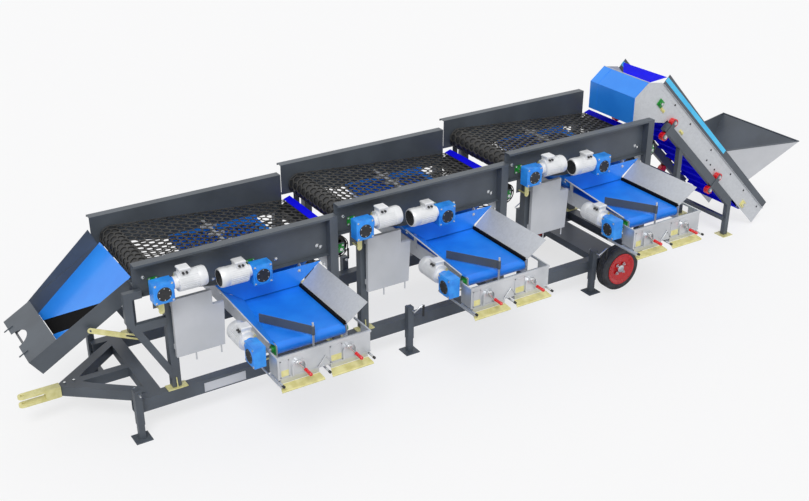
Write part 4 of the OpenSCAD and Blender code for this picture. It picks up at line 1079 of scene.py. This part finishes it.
def jack_crank(x):
    """Crank of a jack: a bent arm from the screw's head, held in its clip."""
    bends = [(0, -jack_y - 38, 0), (0, crank_y + 10, 0), (10, crank_y, 8), (crank_reach - 11, crank_y, 70),
             (crank_reach, crank_y, 66), (crank_reach, crank_y, 40)]
    return moved(bar(bends, 9), (x, 0, crank_z))


def crank_grip(x):
    """Dark moulded handle that hangs from the crank."""
    profile = [(0, -82), (12, -80), (15, -70), (13, 0), (15, 68), (12, 74), (0, 76)]
    return moved(turned(turning(profile, 20), (0, 0, 1)), (x + crank_reach, crank_y, crank_z - 6))


cranked = jack_x[1:]
cranks = join(*[jack_crank(x) for x in cranked])
grips = join(*[crank_grip(x) for x in cranked])
piece("jack_cranks", both_sides(cranks), bright_steel)
piece("jack_grips", both_sides(grips), black_plastic)


# Floor, light and camera
def studio_floor():
    """Matt pale floor, which the camera sees mostly as white paper, with the shadows kept faint."""
    half = 60.0
    corners = [(-half, -half, 0), (half, -half, 0), (half, half, 0), (-half, half, 0)]
    mesh = bpy.data.meshes.new("floor")
    mesh.from_pydata(corners, [], [(0, 1, 2, 3)])
    floor = bpy.data.objects.new("floor", mesh)
    bpy.context.scene.collection.objects.link(floor)
    pale, tree, shader = material("studio_floor", {"Roughness": 0.9, "Base Color": linear("e8e8ea")})
    seen = add(tree, "LightPath").outputs["Is Camera Ray"]
    white = add(tree, "Emission", {"Color": (1, 1, 1, 1), "Strength": 1.0})
    share = add(tree, "Math", {0: seen, 1: 0.7}, operation="MULTIPLY")
    mixed = add(tree, "MixShader", {0: share.outputs["Value"], 1: shader.outputs["BSDF"],
                                    2: white.outputs["Emission"]})
    tree.links.new(mixed.outputs["Shader"], tree.nodes["Material Output"].inputs["Surface"])
    mesh.materials.append(pale)


def even_sky():
    """White light from all sides, drawn at full strength where the camera or a gloss sees it."""
    world = bpy.data.worlds.new("studio")
    world.use_nodes = True
    tree = world.node_tree
    sky = tree.nodes["Background"]
    sky.inputs["Color"].default_value = (1, 1, 1, 1)
    path = add(tree, "LightPath")
    clear = add(tree, "Math", {0: path.outputs["Is Camera Ray"], 1: path.outputs["Is Glossy Ray"]},
                operation="MAXIMUM")
    level = add(tree, "MapRange", {"Value": clear.outputs["Value"], "To Min": 0.62, "To Max": 1.0})
    tree.links.new(level.outputs["Result"], sky.inputs["Strength"])
    bpy.context.scene.world = world


def soft_lamp():
    """Wide soft lamp from the upper left."""
    lamp = bpy.data.lights.new("softbox", "SUN")
    lamp.energy = 1.6
    lamp.angle = math.radians(25)
    key = bpy.data.objects.new("softbox", lamp)
    key.rotation_euler = (math.radians(32), math.radians(-24), 0)
    bpy.context.scene.collection.objects.link(key)


def photo_camera():
    """Camera where the photograph was taken from, with its focal length in pixels."""
    focal_px, width_px, pitch, yaw = 1125.56, 809, 26.126, 32.13
    camera = bpy.data.cameras.new("camera")
    camera.sensor_width = 36
    camera.lens = focal_px / width_px * camera.sensor_width
    camera.clip_end = 200
    stand = bpy.data.objects.new("camera", camera)
    stand.location = (-2.971, -10.122, 7.267)
    stand.rotation_euler = (math.radians(90 - pitch), 0, math.radians(-yaw))
    bpy.context.scene.collection.objects.link(stand)
    bpy.context.scene.camera = stand


studio_floor()
even_sky()
soft_lamp()
photo_camera()
bpy.context.scene.view_settings.view_transform = "Standard"
